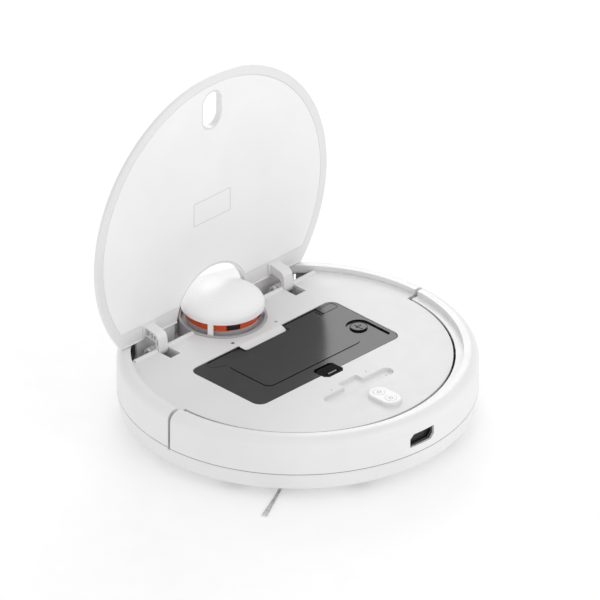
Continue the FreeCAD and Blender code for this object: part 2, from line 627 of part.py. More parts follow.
def hub_spoke(degrees, x1):
    """One raised spoke of a wheel hub."""
    spoke = box(x1 - 4, x1 - 0.5, WHEEL_Y - 1.5, WHEEL_Y + 1.5, WHEEL_R + 8, 2 * WHEEL_R - 8)
    spoke.rotate(V(0, WHEEL_Y, WHEEL_R), V(1, 0, 0), degrees)
    return spoke


def wheel_tyre(side):
    """Rubber tyre with cross treads."""
    x0 = WHEEL_X - WHEEL_W / 2
    x1 = WHEEL_X + WHEEL_W / 2
    tyre = ring_x(WHEEL_R - TYRE_T, WHEEL_R, x0, x1, WHEEL_Y, WHEEL_R)
    grooves = [tread_groove(360 / TREADS * (i + 0.5), x0, x1) for i in range(TREADS)]
    tyre = tyre.cut(group(grooves))
    return tyre if side > 0 else mirror(tyre)


def tread_groove(degrees, x0, x1):
    """One groove across the tyre."""
    groove = box(x0 - 1, x1 + 1, WHEEL_Y - 1.1, WHEEL_Y + 1.1, 2 * WHEEL_R - 1.8, 2 * WHEEL_R + 2)
    groove.rotate(V(0, WHEEL_Y, WHEEL_R), V(1, 0, 0), degrees)
    return groove


# ---- caster ------------------------------------------------------------------------------
def caster_socket():
    """Cup in the bottom that holds the caster's stem."""
    top = CASTER_TOP_Z
    cup = cyl(CUP_IN_R + 2, 0, CASTER_Y, CLEARANCE_Z, top + 12)
    cup = cup.cut(cyl(CUP_IN_R - 0.01, 0, CASTER_Y, 0, top))
    trim = cyl(CUP_IN_R + 2.01, 0, CASTER_Y, top + 2, top + 13).cut(cyl(7, 0, CASTER_Y, 0, ALL_Z))
    flange_cut = tube(CUP_IN_R, CUP_IN_R + 5, 0, CASTER_Y, 0, CLEARANCE_Z + WALL)
    return cup.cut(trim).cut(flange_cut).cut(cyl(CASTER_STEM_R + RUN, 0, CASTER_Y, 0, ALL_Z))


def caster_fork():
    """Swivelling fork: round plate, stem and two cheeks."""
    top = CASTER_TOP_Z
    plate = cyl(17.5, 0, CASTER_Y, top - 4.5, top - 1.0)
    stem = cyl(CASTER_STEM_R, 0, CASTER_Y, top - 2, top + 13)
    cheeks = []
    for side in (-1, 1):
        inner = side * (CASTER_W / 2 + 0.6)
        outer = side * (CASTER_W / 2 + 3.0)
        x0, x1 = sorted((inner, outer))
        cheek = rod_x(4.5, x0, x1, CASTER_Y + CASTER_TRAIL, CASTER_R)
        strut = box(x0, x1, CASTER_Y + CASTER_TRAIL - 4.5, CASTER_Y + CASTER_TRAIL + 4.5, CASTER_R, top - 2)
        cheeks += [cheek, strut]
    axle = rod_x(CASTER_AXLE_R, -CASTER_W / 2 - 2, CASTER_W / 2 + 2, CASTER_Y + CASTER_TRAIL, CASTER_R)
    return fuse([plate, stem, axle] + cheeks)


def caster_wheel():
    """Crowned caster roller."""
    half = CASTER_W / 2
    bore = CASTER_AXLE_R + RUN
    profile = [(bore, -half), (CASTER_R - 1.5, -half), (CASTER_R, -half + 3), (CASTER_R, half - 3),
               (CASTER_R - 1.5, half), (bore, half)]
    wheel = spin(profile)
    wheel.rotate(V(0, 0, 0), V(0, 1, 0), 90)
    wheel.translate(V(0, CASTER_Y + CASTER_TRAIL, CASTER_R))
    return wheel


# ---- main brush and its drive ----------------------------------------------------------------
def brush_bay():
    """Tunnel over the main brush with its suction throat."""
    t = 1.6
    x0 = BAY_X0
    x1 = BAY_X1
    outer = rod_x(BAY_R, x0, x1, BRUSH_Y, BRUSH_Z)
    outer = outer.fuse(box(x0, x1, BRUSH_Y - BAY_R, BRUSH_Y + BAY_R, CLEARANCE_Z + WALL, BRUSH_Z))
    outer = outer.cut(box(x0 - 1, x1 + 1, BRUSH_Y - BAY_R - 1, BRUSH_Y + BAY_R + 1, -10, CLEARANCE_Z + 2))
    inner = rod_x(BAY_R - t, x0 + t, x1 - t, BRUSH_Y, BRUSH_Z)
    inner = inner.fuse(box(x0 + t, x1 - t, BRUSH_Y - BAY_R + t, BRUSH_Y + BAY_R - t, 0, BRUSH_Z))
    throat = box(-36, 36, BRUSH_Y + 8, BRUSH_Y + BAY_R + 3, BRUSH_Z + 12, BRUSH_Z + 30)
    shafts = rod_x(BRUSH_SHAFT_R + RUN, x0 - 1, x0 + 5, BRUSH_Y, BRUSH_Z)
    drive = rod_x(PINION_R + 1.6, GEAR_X0 - 0.5, x1 + 1, PINION_Y, PINION_Z)
    return outer.fuse(pinion_cover()).cut(inner).cut(throat).cut(shafts).cut(drive)


def pinion_cover():
    """Boss on the brush tunnel that encloses the pinion."""
    return rod_x(PINION_R + 3.2, GEAR_X0 - 2.1, BAY_X1, PINION_Y, PINION_Z)


def gear(teeth, y, z, turn, bore):
    """Spur gear along X with straight-flanked teeth."""
    pitch_r = GEAR_MODULE * teeth / 2
    root_r = pitch_r - 1.2 * GEAR_MODULE
    tip_r = pitch_r + 0.9 * GEAR_MODULE
    step = 2 * math.pi / teeth
    points = []
    for i in range(teeth):
        middle = math.radians(turn) + i * step
        for r, share in ((root_r, -0.30), (tip_r, -0.12), (tip_r, 0.12), (root_r, 0.30)):
            angle = middle + share * step
            points.append((y + r * math.cos(angle), z + r * math.sin(angle)))
    solid = poly_face(points, "YZ").extrude(V(GEAR_X1 - GEAR_X0, 0, 0))
    solid.translate(V(GEAR_X0, 0, 0))
    return solid.cut(rod_x(bore, GEAR_X0 - 1, GEAR_X1 + 1, y, z))


def brush_core():
    """Brush roller with its end shafts."""
    core = rod_x(BRUSH_CORE_R, BRUSH_X0, BRUSH_X1, BRUSH_Y, BRUSH_Z)
    shaft = rod_x(BRUSH_SHAFT_R, BAY_X0 + 0.2, GEAR_X1 + 0.6, BRUSH_Y, BRUSH_Z)
    return fuse([core, shaft])


def brush_bristles():
    """Six strips of bristle and rubber round the roller."""
    strips = []
    for i in range(BRUSH_STRIPS):
        strip = box(BRUSH_X0 + 1, BRUSH_X1 - 1, BRUSH_Y - 1.3, BRUSH_Y + 1.3,
                    BRUSH_Z + BRUSH_CORE_R, BRUSH_Z + BRUSH_R)
        strip = strip.cut(rod_x(BRUSH_CORE_R, BRUSH_X0 - 1, BRUSH_X1 + 1, BRUSH_Y, BRUSH_Z))
        strip.rotate(V(0, BRUSH_Y, BRUSH_Z), V(1, 0, 0), 360 / BRUSH_STRIPS * i)
        strips.append(strip)
    return group(strips)


def brush_gear():
    """Driven gear on the end of the brush."""
    return gear(GEAR_TEETH, BRUSH_Y, BRUSH_Z, 45, BRUSH_SHAFT_R)


def brush_pinion():
    """Pinion on the brush motor's shaft."""
    teeth = gear(PINION_TEETH, PINION_Y, PINION_Z, 225 + 180 / PINION_TEETH, PINION_SHAFT_R)
    shaft = rod_x(PINION_SHAFT_R, GEAR_X0, BAY_X1 + 4, PINION_Y, PINION_Z)
    return fuse([teeth, shaft])


def brush_motor():
    """Brush motor outboard of the pinion."""
    can = rod_x(10, BAY_X1 + 0.4, BAY_X1 + 30, PINION_Y, PINION_Z)
    return can.cut(rod_x(PINION_SHAFT_R + RUN, BAY_X1, BAY_X1 + 5, PINION_Y, PINION_Z))


def brush_guard():
    """Removable cover under the main brush, a frame with cross bars."""
    z0 = CLEARANCE_Z - 0.4
    z1 = CLEARANCE_Z + 1.6
    frame = rounded(BAY_X0 + 0.4, BAY_X1 - 0.4, BRUSH_Y - BAY_R + 0.4, BRUSH_Y + BAY_R - 0.4, z0, z1, 3)
    window = rounded(BRUSH_X0 - 1, BRUSH_X1 + 1, BRUSH_Y - 17.5, BRUSH_Y + 17.5, 0, 20, 3)
    frame = frame.cut(window)
    bars = [brush_guard_bar(x) for x in (-4.0, 26.0, 56.0)]
    return fuse([frame] + bars)


def brush_guard_bar(x):
    """Thin bar that bows under the brush."""
    hoop = ring_x(BRUSH_R + 0.5, BRUSH_R + 1.7, x - 1, x + 1, BRUSH_Y, BRUSH_Z)
    return hoop.common(box(x - 2, x + 2, BRUSH_Y - 18, BRUSH_Y + 18, 0, CLEARANCE_Z + 1.6))


# ---- side brush -----------------------------------------------------------------------------
def side_brush_hub():
    """Rubber hub with three stub arms and its square drive shaft."""
    hub = cyl(11, SIDE_BRUSH_X, SIDE_BRUSH_Y, 2.6, CLEARANCE_Z - 0.6)
    shaft = cyl(SIDE_SHAFT_R, SIDE_BRUSH_X, SIDE_BRUSH_Y, CLEARANCE_Z - 1, 22)
    arms = []
    for degrees in SIDE_BRUSH_DEG:
        arm = rounded(8, SIDE_ARM_LONG, -3.2, 3.2, 2.6, 6.2, 1.5)
        arm.rotate(V(0, 0, 0), V(0, 0, 1), degrees)
        arm.translate(V(SIDE_BRUSH_X, SIDE_BRUSH_Y, 0))
        arms.append(arm)
    return fuse([hub, shaft] + arms)


def side_brush_tufts():
    """Three tufts of bristle, flexed down to the floor."""
    tufts = []
    for degrees in SIDE_BRUSH_DEG:
        a = SIDE_ARM_LONG
        b = SIDE_BRUSH_LONG
        side_view = [(a, 2.8), (a, 5.2), (a + 4, 3.2), (a + 8, 2.4), (b, 1.8), (b, 0.6), (a + 8, 1.0)]
        tuft = poly_face(side_view, "XZ").extrude(V(0, 4.4, 0))
        tuft.translate(V(0, -2.2, 0))
        tuft.rotate(V(0, 0, 0), V(0, 0, 1), degrees)
        tuft.translate(V(SIDE_BRUSH_X, SIDE_BRUSH_Y, 0))
        tufts.append(tuft)
    return group(tufts)


def side_brush_motor():
    """Motor and gearbox above the side brush."""
    case = cyl(13, SIDE_BRUSH_X, SIDE_BRUSH_Y, CLEARANCE_Z + 0.4, 44)
    return case.cut(cyl(SIDE_SHAFT_R + RUN, SIDE_BRUSH_X, SIDE_BRUSH_Y, 0, 23))


# ---- power, boards and fan ---------------------------------------------------------------------
def battery_pack():
    """Lithium battery pack between the brush and the rear."""
    return rounded(-BATTERY_X, BATTERY_X, -BATTERY_Y, BATTERY_Y, CLEARANCE_Z + 2.2, BIN_FLOOR_Z - 2.8, 4)


def battery_door():
    """Door under the battery, flush with the bottom, with two screws' recesses."""
    x = BATTERY_X + 4 - FIT
    y = BATTERY_Y + 3 - FIT
    door = rounded(-x, x, -y, y, CLEARANCE_Z, CLEARANCE_Z + 1.9, 3)
    for side in (-1, 1):
        door = door.cut(cyl(3.2, side * (BATTERY_X - 4), BATTERY_Y - 4, CLEARANCE_Z - 1, CLEARANCE_Z + 1))
    return door


def main_board():
    """Control board with its larger components."""
    z = 27 + BOARD_T
    board = box(-100, -22, 60, 118, 27, z)
    chips = [box(-90, -74, 70, 86, z, z + 1.8), box(-60, -44, 66, 82, z, z + 1.6),
             box(-66, -54, 96, 112, z, z + 5.4), box(-96, -88, 92, 112, z, z + 4.4),
             cyl(4, -40, 100, z, z + 11.4), cyl(4, -40, 88, z, z + 11.4)]
    return fuse([board] + chips)


def fan_housing():
    """Volute round the suction fan, open at its top eye and at its outlet."""
    r = FAN_R + 3
    t = 1.8
    z0 = FAN_LOW_Z
    z1 = FAN_HIGH_Z
    case = cyl(r + t, FAN_X, FAN_Y, z0, z1).fuse(box(FAN_X, FAN_X + 62, FAN_Y + 6, FAN_Y + r + t, z0, z1))
    hollow = cyl(r, FAN_X, FAN_Y, z0 + t, z1 - t)
    hollow = hollow.fuse(box(FAN_X, FAN_X + 70, FAN_Y + 6 + t, FAN_Y + r, z0 + t, z1 - t))
    eye = cyl(14, FAN_X, FAN_Y, z1 - 10, z1 + 10)
    return case.cut(hollow).cut(eye).common(cyl(REAR_R - 17, 0, 0, 0, ALL_Z))


def fan_impeller():
    """Impeller with nine curved blades, as one moulding."""
    z0 = IMPELLER_Z
    disc = cyl(FAN_R, FAN_X, FAN_Y, z0, z0 + 1.6)
    hub = cyl(6, FAN_X, FAN_Y, z0, z0 + 11)
    blades = []
    for i in range(FAN_BLADES):
        blade = tube(15, 16.2, FAN_X + 15, FAN_Y, z0 + 1, z0 + 12)
        blade = blade.common(box(FAN_X + 2, FAN_X + 23, FAN_Y, FAN_Y + 18, 0, ALL_Z))
        blade = blade.common(cyl(FAN_R - 0.5, FAN_X, FAN_Y, 0, ALL_Z))
        blade.rotate(V(FAN_X, FAN_Y, 0), V(0, 0, 1), 360 / FAN_BLADES * i)
        blades.append(blade)
    return fuse([disc, hub] + blades).cut(cyl(FAN_SHAFT_R + RUN, FAN_X, FAN_Y, 0, ALL_Z))


def fan_motor():
    """Fan motor under the impeller, with its fixed shaft."""
    can = cyl(13, FAN_X, FAN_Y, FAN_LOW_Z + 1.8, IMPELLER_Z - 0.6)
    return fuse([can, cyl(FAN_SHAFT_R, FAN_X, FAN_Y, IMPELLER_Z - 1, IMPELLER_Z + 10)])


def speaker():
    """Small loudspeaker at the rear."""
    return fuse([cyl(14, SPEAKER_X, SPEAKER_Y, 13, 18), cyl(9, SPEAKER_X, SPEAKER_Y, 18, 24)])


def charge_contacts():
    """Two spring contacts on the underside at the front."""
    return group([contact_block(side, CLEARANCE_Z - 0.5, CLEARANCE_Z + 3, 0.2) for side in (-1, 1)])


def contact_block(side, z0, z1, shrink):
    """Rectangular block at the place of one charging contact."""
    x = 9 - shrink
    y = 4 - shrink
    return box(side * CONTACT_X - x, side * CONTACT_X + x, CONTACT_Y - y, CONTACT_Y + y, z0, z1)


def bumper_switches():
    """Two contact switches behind the bumper."""
    switches = []
    wall_y = -(FRONT_WALL_R + WALL)
    for degrees in SWITCH_DEG:
        body = box(-6, 6, wall_y - 8, wall_y, 38, 45)
        lever = box(-5, 5, wall_y - 19, wall_y - 7, 41, 42)
        switch = fuse([body, lever])
        switch.rotate(V(0, 0, 0), V(0, 0, 1), degrees + 90)
        switches.append(switch)
    return group(switches)


def bumper_springs():
    """Two return springs behind the bumper, shown as their coiled envelope."""
    springs = []
    wall_y = -(FRONT_WALL_R + WALL)
    for degrees in SPRING_DEG:
        spring = Part.makeCylinder(3, 21, V(0, wall_y, 40), V(0, -1, 0))
        spring = spring.cut(Part.makeCylinder(2, 30, V(0, wall_y + 1, 40), V(0, -1, 0)))
        spring.rotate(V(0, 0, 0), V(0, 0, 1), degrees + 90)
        springs.append(spring)
    return springs


# ---- buttons ----------------------------------------------------------------------------------
def button_y(index):
    """Place of a button on the pad, 0 at the front."""
    return PAD_Y + (index - 0.5) * BUTTON_PITCH


def button_pad():
    """Raised pad that the two buttons sit in."""
    top = DECK_TOP + PAD_PROUD
    pad = pill_y(0, PAD_Y, PAD_WIDE, PAD_LONG, DECK_TOP + 0.02, top)
    edges = [e for e in pad.Edges if e.BoundBox.ZMin > top - 0.01]
    pad = pad.makeFillet(1.0, edges)
    inset = 2 * (PAD_NECK_INSET + FIT)
    neck = pill_y(0, PAD_Y, PAD_WIDE - inset, PAD_LONG - inset, DECK_TOP - 3.5, DECK_TOP + 0.5)
    pad = fuse([pad, neck])
    for index in (0, 1):
        pad = pad.cut(cyl(BUTTON_R + 0.25, 0, button_y(index), BUTTON_SEAT_Z, ALL_Z))
        pad = pad.cut(cyl(3 + FIT, 0, button_y(index), 0, ALL_Z))
    return pad


def button(index):
    """Round button with a plunger."""
    top = DECK_TOP + PAD_PROUD + 0.1
    cap = cyl(BUTTON_R, 0, button_y(index), BUTTON_SEAT_Z + BUTTON_TRAVEL + FIT, top)
    plunger = cyl(3, 0, button_y(index), BUTTON_BOARD_Z + 3 + BUTTON_TRAVEL, top - 1)
    return fuse([cap, plunger])


def button_board():
    """Small board under the buttons with its two tact switches."""
    top = BUTTON_BOARD_Z + BOARD_T
    board = box(-10, 10, PAD_Y - 17, PAD_Y + 17, BUTTON_BOARD_Z, top)
    switches = [box(-3, 3, button_y(i) - 3, button_y(i) + 3, top, top + 1.3) for i in (0, 1)]
    return fuse([board] + switches)


# ---- laser tower ----------------------------------------------------------------------------------
def tower_base():
    """Round base: bright rim, sunken floor and the turret's bearing."""
    floor_z = TOWER_FLOOR_Z
    rim = tube(TOWER_BASE_R - 2.4, TOWER_BASE_R, 0, TOWER_Y, floor_z - 2, DECK_TOP + 1.8)
    floor = cyl(TOWER_BASE_R - 1, 0, TOWER_Y, floor_z - 2, floor_z)
    bearing = cyl(TURRET_SHAFT_R + 4, 0, TOWER_Y, floor_z - 11, floor_z)
    skirt = tube(TOWER_BASE_R - 2.4, TOWER_BASE_R, 0, TOWER_Y, TROUGH_FLOOR_Z + 0.4, floor_z)
    collar = tube(TURRET_R - 3.9, TURRET_R - 1.5, 0, TOWER_Y, floor_z - 1, BAND_LOW_Z - FIT)
    base = fuse([rim, floor, bearing, skirt, collar]).cut(cyl(TURRET_SHAFT_R + RUN, 0, TOWER_Y, 0, ALL_Z))
    for degrees in POST_DEG:
        base = base.cut(tower_post(degrees, 0.1, floor_z - 2.5, ALL_Z))
    return base.cut(cyl(5.4, LASER_MOTOR_X, LASER_MOTOR_Y, 0, ALL_Z))


def tower_post(degrees, grow, z0, z1):
    """One post of the tower cap."""
    post = box(TOWER_CAP_R - 3.2 - grow, TOWER_CAP_R - 0.2 + grow, -2.6 - grow, 2.6 + grow, z0, z1)
    post.rotate(V(0, 0, 0), V(0, 0, 1), degrees)
    post.translate(V(0, TOWER_Y, 0))
    return post


def tower_dome(inset):
    """Outline of the domed cap, as pairs (radius, height)."""
    r = TOWER_CAP_R - inset
    top = TOWER_TOP_Z - inset
    edge_z = TOWER_CAP_LOW_Z + 3.0
    points = [(r, TOWER_CAP_LOW_Z - inset)]
    points += [(r * math.cos(a) ** 1.1, edge_z + (top - edge_z) * math.sin(a))
               for a in [math.radians(90 * i / 12) for i in range(12)]]
    return points + [(0, top), (0, TOWER_CAP_LOW_Z - inset)]


def tower_cap():
    """Domed cap on three posts."""
    cap = spin(tower_dome(0), 0, TOWER_Y).cut(spin(tower_dome(2.0), 0, TOWER_Y))
    posts = [tower_post(d, 0, TOWER_FLOOR_Z - 2, TOWER_CAP_LOW_Z + 1) for d in POST_DEG]
    return fuse([cap] + posts)


def turret_drum():
    """Spinning laser turret with its shaft."""
    low_z = TOWER_FLOOR_Z + 1.4
    high_z = TOWER_CAP_LOW_Z + 3
    drum = cyl(TURRET_R, 0, TOWER_Y, low_z, high_z)
    drum = drum.cut(tube(TURRET_R - 1.0, TURRET_R + 5, 0, TOWER_Y, high_z - 4, high_z + 1))
    drum = drum.cut(cyl(TURRET_R - 7, 0, TOWER_Y, low_z + 2.6, high_z - 2.2))
    groove = tube(TURRET_R - 4.6, TURRET_R + 5, 0, TOWER_Y, low_z - 1, BAND_LOW_Z)
    shaft = cyl(TURRET_SHAFT_R, 0, TOWER_Y, BELT_Z + 0.5, low_z + 0.6)
    pulley = belt_pulley(TURRET_PULLEY_R, 0, TOWER_Y)
    drum = fuse([drum.cut(groove), shaft, pulley])
    for degrees in LENS_DEG:
        drum = drum.cut(lens_block(degrees, 0.0))
    return drum


def belt_pulley(groove_r, x, y):
    """Pulley with a groove for the flat belt."""
    groove = tube(groove_r, groove_r + 9, x, y, BELT_Z + 1, BELT_Z + PULLEY_H - 1)
    return cyl(groove_r + 1, x, y, BELT_Z, BELT_Z + PULLEY_H).cut(groove)


def lens_block(degrees, shrink):
    """Block of one laser window."""
    half = 7.0 if degrees < -100 else 5.0
    z0 = BAND_LOW_Z + 0.3 + shrink
    z1 = BAND_LOW_Z + 5.5 - shrink
    block = box(TURRET_R - 5 + shrink, TURRET_R + 1, -half + shrink, half - shrink, z0, z1)
    block.rotate(V(0, 0, 0), V(0, 0, 1), degrees)
    block.translate(V(0, TOWER_Y, 0))
    return block


def turret_lenses():
    """Dark windows of the laser and its receiver."""
    return group([lens_block(d, 0.05).common(cyl(TURRET_R - 0.3, 0, TOWER_Y, 0, ALL_Z)) for d in LENS_DEG])


def laser_motor():
    """Small motor that turns the turret by a belt."""
    low_z = BELT_Z + PULLEY_H + 0.9
    can = cyl(5.0, LASER_MOTOR_X, LASER_MOTOR_Y, low_z, TOWER_FLOOR_Z + 1)
    return can.cut(cyl(1 + RUN, LASER_MOTOR_X, LASER_MOTOR_Y, 0, low_z + 6.4))


def motor_pulley():
    """Pulley on the laser motor's shaft."""
    pulley = belt_pulley(MOTOR_PULLEY_R, LASER_MOTOR_X, LASER_MOTOR_Y)
    return fuse([pulley, cyl(1.0, LASER_MOTOR_X, LASER_MOTOR_Y, BELT_Z + 3.5, BELT_Z + 10.5)])


def laser_belt():
    """Flat belt round both pulleys."""
    def loop(grow):
        a = V(0, TOWER_Y, BELT_Z + BELT_H)
        b = V(LASER_MOTOR_X, LASER_MOTOR_Y, BELT_Z + BELT_H)
        along = b.sub(a)
        big = TURRET_PULLEY_R + 0.15 + grow
        small = MOTOR_PULLEY_R + 0.15 + grow
        tilt = math.asin((big - small) / along.Length)
        heading = math.atan2(along.y, along.x)
        points = []
        for centre, r in ((a, big), (b, small)):
            for sign in (1, -1):
                angle = heading + sign * (math.pi / 2 - tilt)
                points.append(V(centre.x + r * math.cos(angle), centre.y + r * math.sin(angle), centre.z))
        outline = Part.Face(Part.makePolygon([points[0], points[2], points[3], points[1], points[0]]))
        prism = outline.extrude(V(0, 0, BELT_H))
        return fuse([prism, cyl(big, a.x, a.y, a.z, a.z + BELT_H), cyl(small, b.x, b.y, b.z, b.z + BELT_H)])

    return loop(0.8).cut(loop(0.0))


# ---- dust bin -----------------------------------------------------------------------------------------
def bin_cover():
    """Smoky top of the bin: raised panel, rear strips, filler recess and latch notch."""
    z1 = BIN_TOP_Z
    cover = bin_opening(-FIT, BIN_SPLIT_Z, z1)
    panel_x = BIN_X - 32.3
    panel = rounded(-panel_x, panel_x, -26, 32, z1 - 1, z1 + 0.6, 8)
    step_x = BIN_X - 22.3
    step = rounded(-step_x, step_x, 36.5, BIN_REAR_Y + 5, z1 - 0.9, z1 + 2, 2)
    x0 = PLUG_X - 12.5
    x1 = PLUG_X + 12.5
    recess = fuse([cyl(12.5, PLUG_X, PLUG_Y, z1 - 1.6, z1 + 2), box(x0, x1, -31, PLUG_Y, z1 - 1.6, z1 + 2),
                   rounded(x0, x1, -35, -20, z1 - 1.6, z1 + 2, 3)])
    cover = fuse([cover, panel]).cut(step).cut(recess).cut(cyl(6.2, PLUG_X, PLUG_Y, 0, ALL_Z))
    slid = latch_outline(FIT, 0, ALL_Z)
    slid.translate(V(0, LATCH_TRAVEL, 0))
    return cover.cut(latch_outline(FIT, 0, ALL_Z)).cut(slid)


def tub_rear_y():
    """Rear face of the bin's tub, in front of the finger notch."""
    return BIN_REAR_Y - NOTCH_Y - 0.6


def bin_tub():
    """Lower part of the bin, a thin-walled box with its inlet and outlet."""
    t = BIN_WALL
    z1 = BIN_SPLIT_Z
    x = BIN_X - 2.2
    y0 = BIN_FRONT_Y + 2.2
    y1 = tub_rear_y()
    tub = rounded(-x, x, y0, y1, BIN_FLOOR_Z, z1, 7)
    inside = rounded(-x + t, x - t, y0 + t, y1 - t, BIN_FLOOR_Z + t, z1 + 1, 5.4)
    inlet = box(-35, 35, y0 - 3, y0 + 3, BIN_FLOOR_Z + 4, BIN_FLOOR_Z + 13)
    outlet = box(32, 68, y1 - 3, y1 + 3, BIN_FLOOR_Z + 3, BIN_FLOOR_Z + 20)
    latch_room = box(-LATCH_X - 1.5, LATCH_X + 1.5, y0 - 3, LATCH_REAR_Y + LATCH_TRAVEL + 1.5, z1 - 10, ALL_Z)
    shelf = box(-LATCH_X - 3, LATCH_X + 3, y0 + 0.5, LATCH_REAR_Y + LATCH_TRAVEL + 3, z1 - 12, z1)
    return fuse([tub.cut(inside), shelf]).cut(latch_room).cut(inlet).cut(outlet)


def bin_latch():
    """Sliding latch with its finger slot."""
    z1 = DECK_TOP - 0.2
    body = latch_outline(0, DECK_TOP - 6.0, z1)
    finger = rounded(-7.5, 7.5, -50.0, -46.6, z1 - 3, z1 + 1, 1.2)
    return body.cut(finger)


def water_plug():
    """Round filler plug of the bin's water side, with a finger ridge."""
    z = BIN_TOP_Z - 1.6
    plug = fuse([cyl(8.8, PLUG_X, PLUG_Y, z + 0.05, z + 1.3), cyl(6.0, PLUG_X, PLUG_Y, z - 4, z + 0.5)])
    ridge = rounded(PLUG_X - 1.4, PLUG_X + 1.4, PLUG_Y - 5.4, PLUG_Y + 5.4, z + 1, z + 1.7, 1)
    return fuse([plug, ridge])


def filter_frame():
    """Frame of the outlet filter inside the bin."""
    y1 = tub_rear_y() - BIN_WALL
    frame = box(FILTER_X0, FILTER_X1, y1 - 9, y1 - 0.2, BIN_FLOOR_Z + 2.0, BIN_FLOOR_Z + 22)
    return frame.cut(box(FILTER_X0 + 3, FILTER_X1 - 3, y1 - 10, y1 + 1, BIN_FLOOR_Z + 4.5, BIN_FLOOR_Z + 19.5))


def filter_pleats():
    """Folded paper of the outlet filter."""
    y1 = tub_rear_y() - BIN_WALL
    first = FILTER_X0 + 3 + FIT
    fold = (FILTER_X1 - 3 - FIT - first) / FILTER_FOLDS
    points = [(first + fold * i, y1 - 8.0 if i % 2 else y1 - 2.4) for i in range(FILTER_FOLDS + 1)]
    back = [(x, y + 1.2) for x, y in points[::-1]]
    solid = poly_face(points + back, "XY").extrude(V(0, 0, 14.6))
    solid.translate(V(0, 0, BIN_FLOOR_Z + 4.7))
    return solid


# ---- lid, built shut over the deck and then turned open about its hinge ------------------------------------
def open_lid(shape):
    """Turn a piece of the shut lid to its open place."""
    turned = shape.copy()
    turned.rotate(V(0, HINGE_Y, HINGE_Z), V(1, 0, 0), -90)
    return turned


def lid_outline(r, z0, z1, grow):
    """Lid disc with its straight rear edge, tongues and tower cut."""
    disc = cyl(r, 0, 0, z0, z1)
    rear = LID_CHORD + grow
    keep = box(-300, 300, -300, rear, z0 - 1, z1 + 1)
    tongues = [box(min(s * TOWER_CUT_R, s * (TONGUE_X + grow)), max(s * TOWER_CUT_R, s * (TONGUE_X + grow)),
                   rear - 1, TONGUE_CHORD + grow, z0 - 1, z1 + 1) for s in (-1, 1)]
    outline = disc.common(fuse([keep] + tongues))
    outline = outline.cut(cyl(TOWER_CUT_R - grow, 0, TOWER_Y, z0 - 1, z1 + 1))
    return outline.cut(box(-TOWER_CUT_R + grow, TOWER_CUT_R - grow, TOWER_Y, 300, z0 - 1, z1 + 1))


def lid_slot(grow, z0, z1):
    """Slot in the lid over the buttons."""
    return pill_y(0, -SLOT_CENTRE, SLOT_WIDE + 2 * grow, SLOT_LONG + 2 * grow, z0, z1)


def lid_shell():
    """Outer shell of the lid with a softly crowned top."""
    z0 = LID_UNDER_Z
    z1 = z0 + LID_T
    shell = lid_outline(LID_R, z0, z1, 0)
    crown = lid_ball(0).common(lid_outline(LID_R - 0.3, z1 - 0.2, z1 + LID_CROWN + 1, 0))
    shell = fuse([shell, crown])
    edge = [(LID_R + 1, z0 - 1), (LID_R - 1.2, z0 - 1), (LID_R + 0.2, z0 + 1.2), (LID_R + 0.2, z1 - 2.2),
            (LID_R - 2.4, z1 + 0.4), (LID_R - 2.4, z1 + 3), (LID_R + 1, z1 + 3)]
    shell = shell.cut(spin(edge))
    seat = lid_panel_outline(0.25, z0 - 1, z0 + LID_PANEL_T)
    hollow = lid_panel_outline(-1.5, z0 + LID_PANEL_T - 0.1, z1 + 1).common(lid_ball(LID_SKIN))
    step = box(-300, 300, LID_CHORD, 300, z0 - 1, z0 + TONGUE_STEP)
    lip_x = math.sqrt(LID_R ** 2 - LID_CHORD ** 2) - 3
    lip = rod_x(LIP_R, -lip_x, lip_x, LID_CHORD - LIP_R, z0).cut(box(-TOWER_CUT_R, TOWER_CUT_R, 0, 300, 0, ALL_Z))
    return fuse([shell.cut(step), lip]).cut(seat).cut(hollow).cut(lid_slot(0, z0 - 1, z1 + 5))


def lid_ball(inset):
    """Large ball whose top is the lid's crown, lowered by inset."""
    radius = (LID_R ** 2 + LID_CROWN ** 2) / (2 * LID_CROWN)
    return Part.makeSphere(radius, V(0, 0, LID_UNDER_Z + LID_T + LID_CROWN - inset - radius))


def lid_panel_outline(grow, z0, z1):
    """Round inner panel with its straight lower edge, cut round the tower opening and the slot."""
    disc = cyl(LID_PANEL_R + grow, 0, 0, z0, z1).common(front_half(LID_PANEL_CHORD + grow))
    disc = disc.cut(cyl(TOWER_CUT_R + 2.0 - grow, 0, TOWER_Y, z0 - 1, z1 + 1))
    return disc.cut(lid_slot(1.4 - grow, z0 - 1, z1 + 1))


def lid_panel():
    """Inner panel of the lid."""
    return lid_panel_outline(0, LID_UNDER_Z, LID_UNDER_Z + LID_PANEL_T - 0.02)


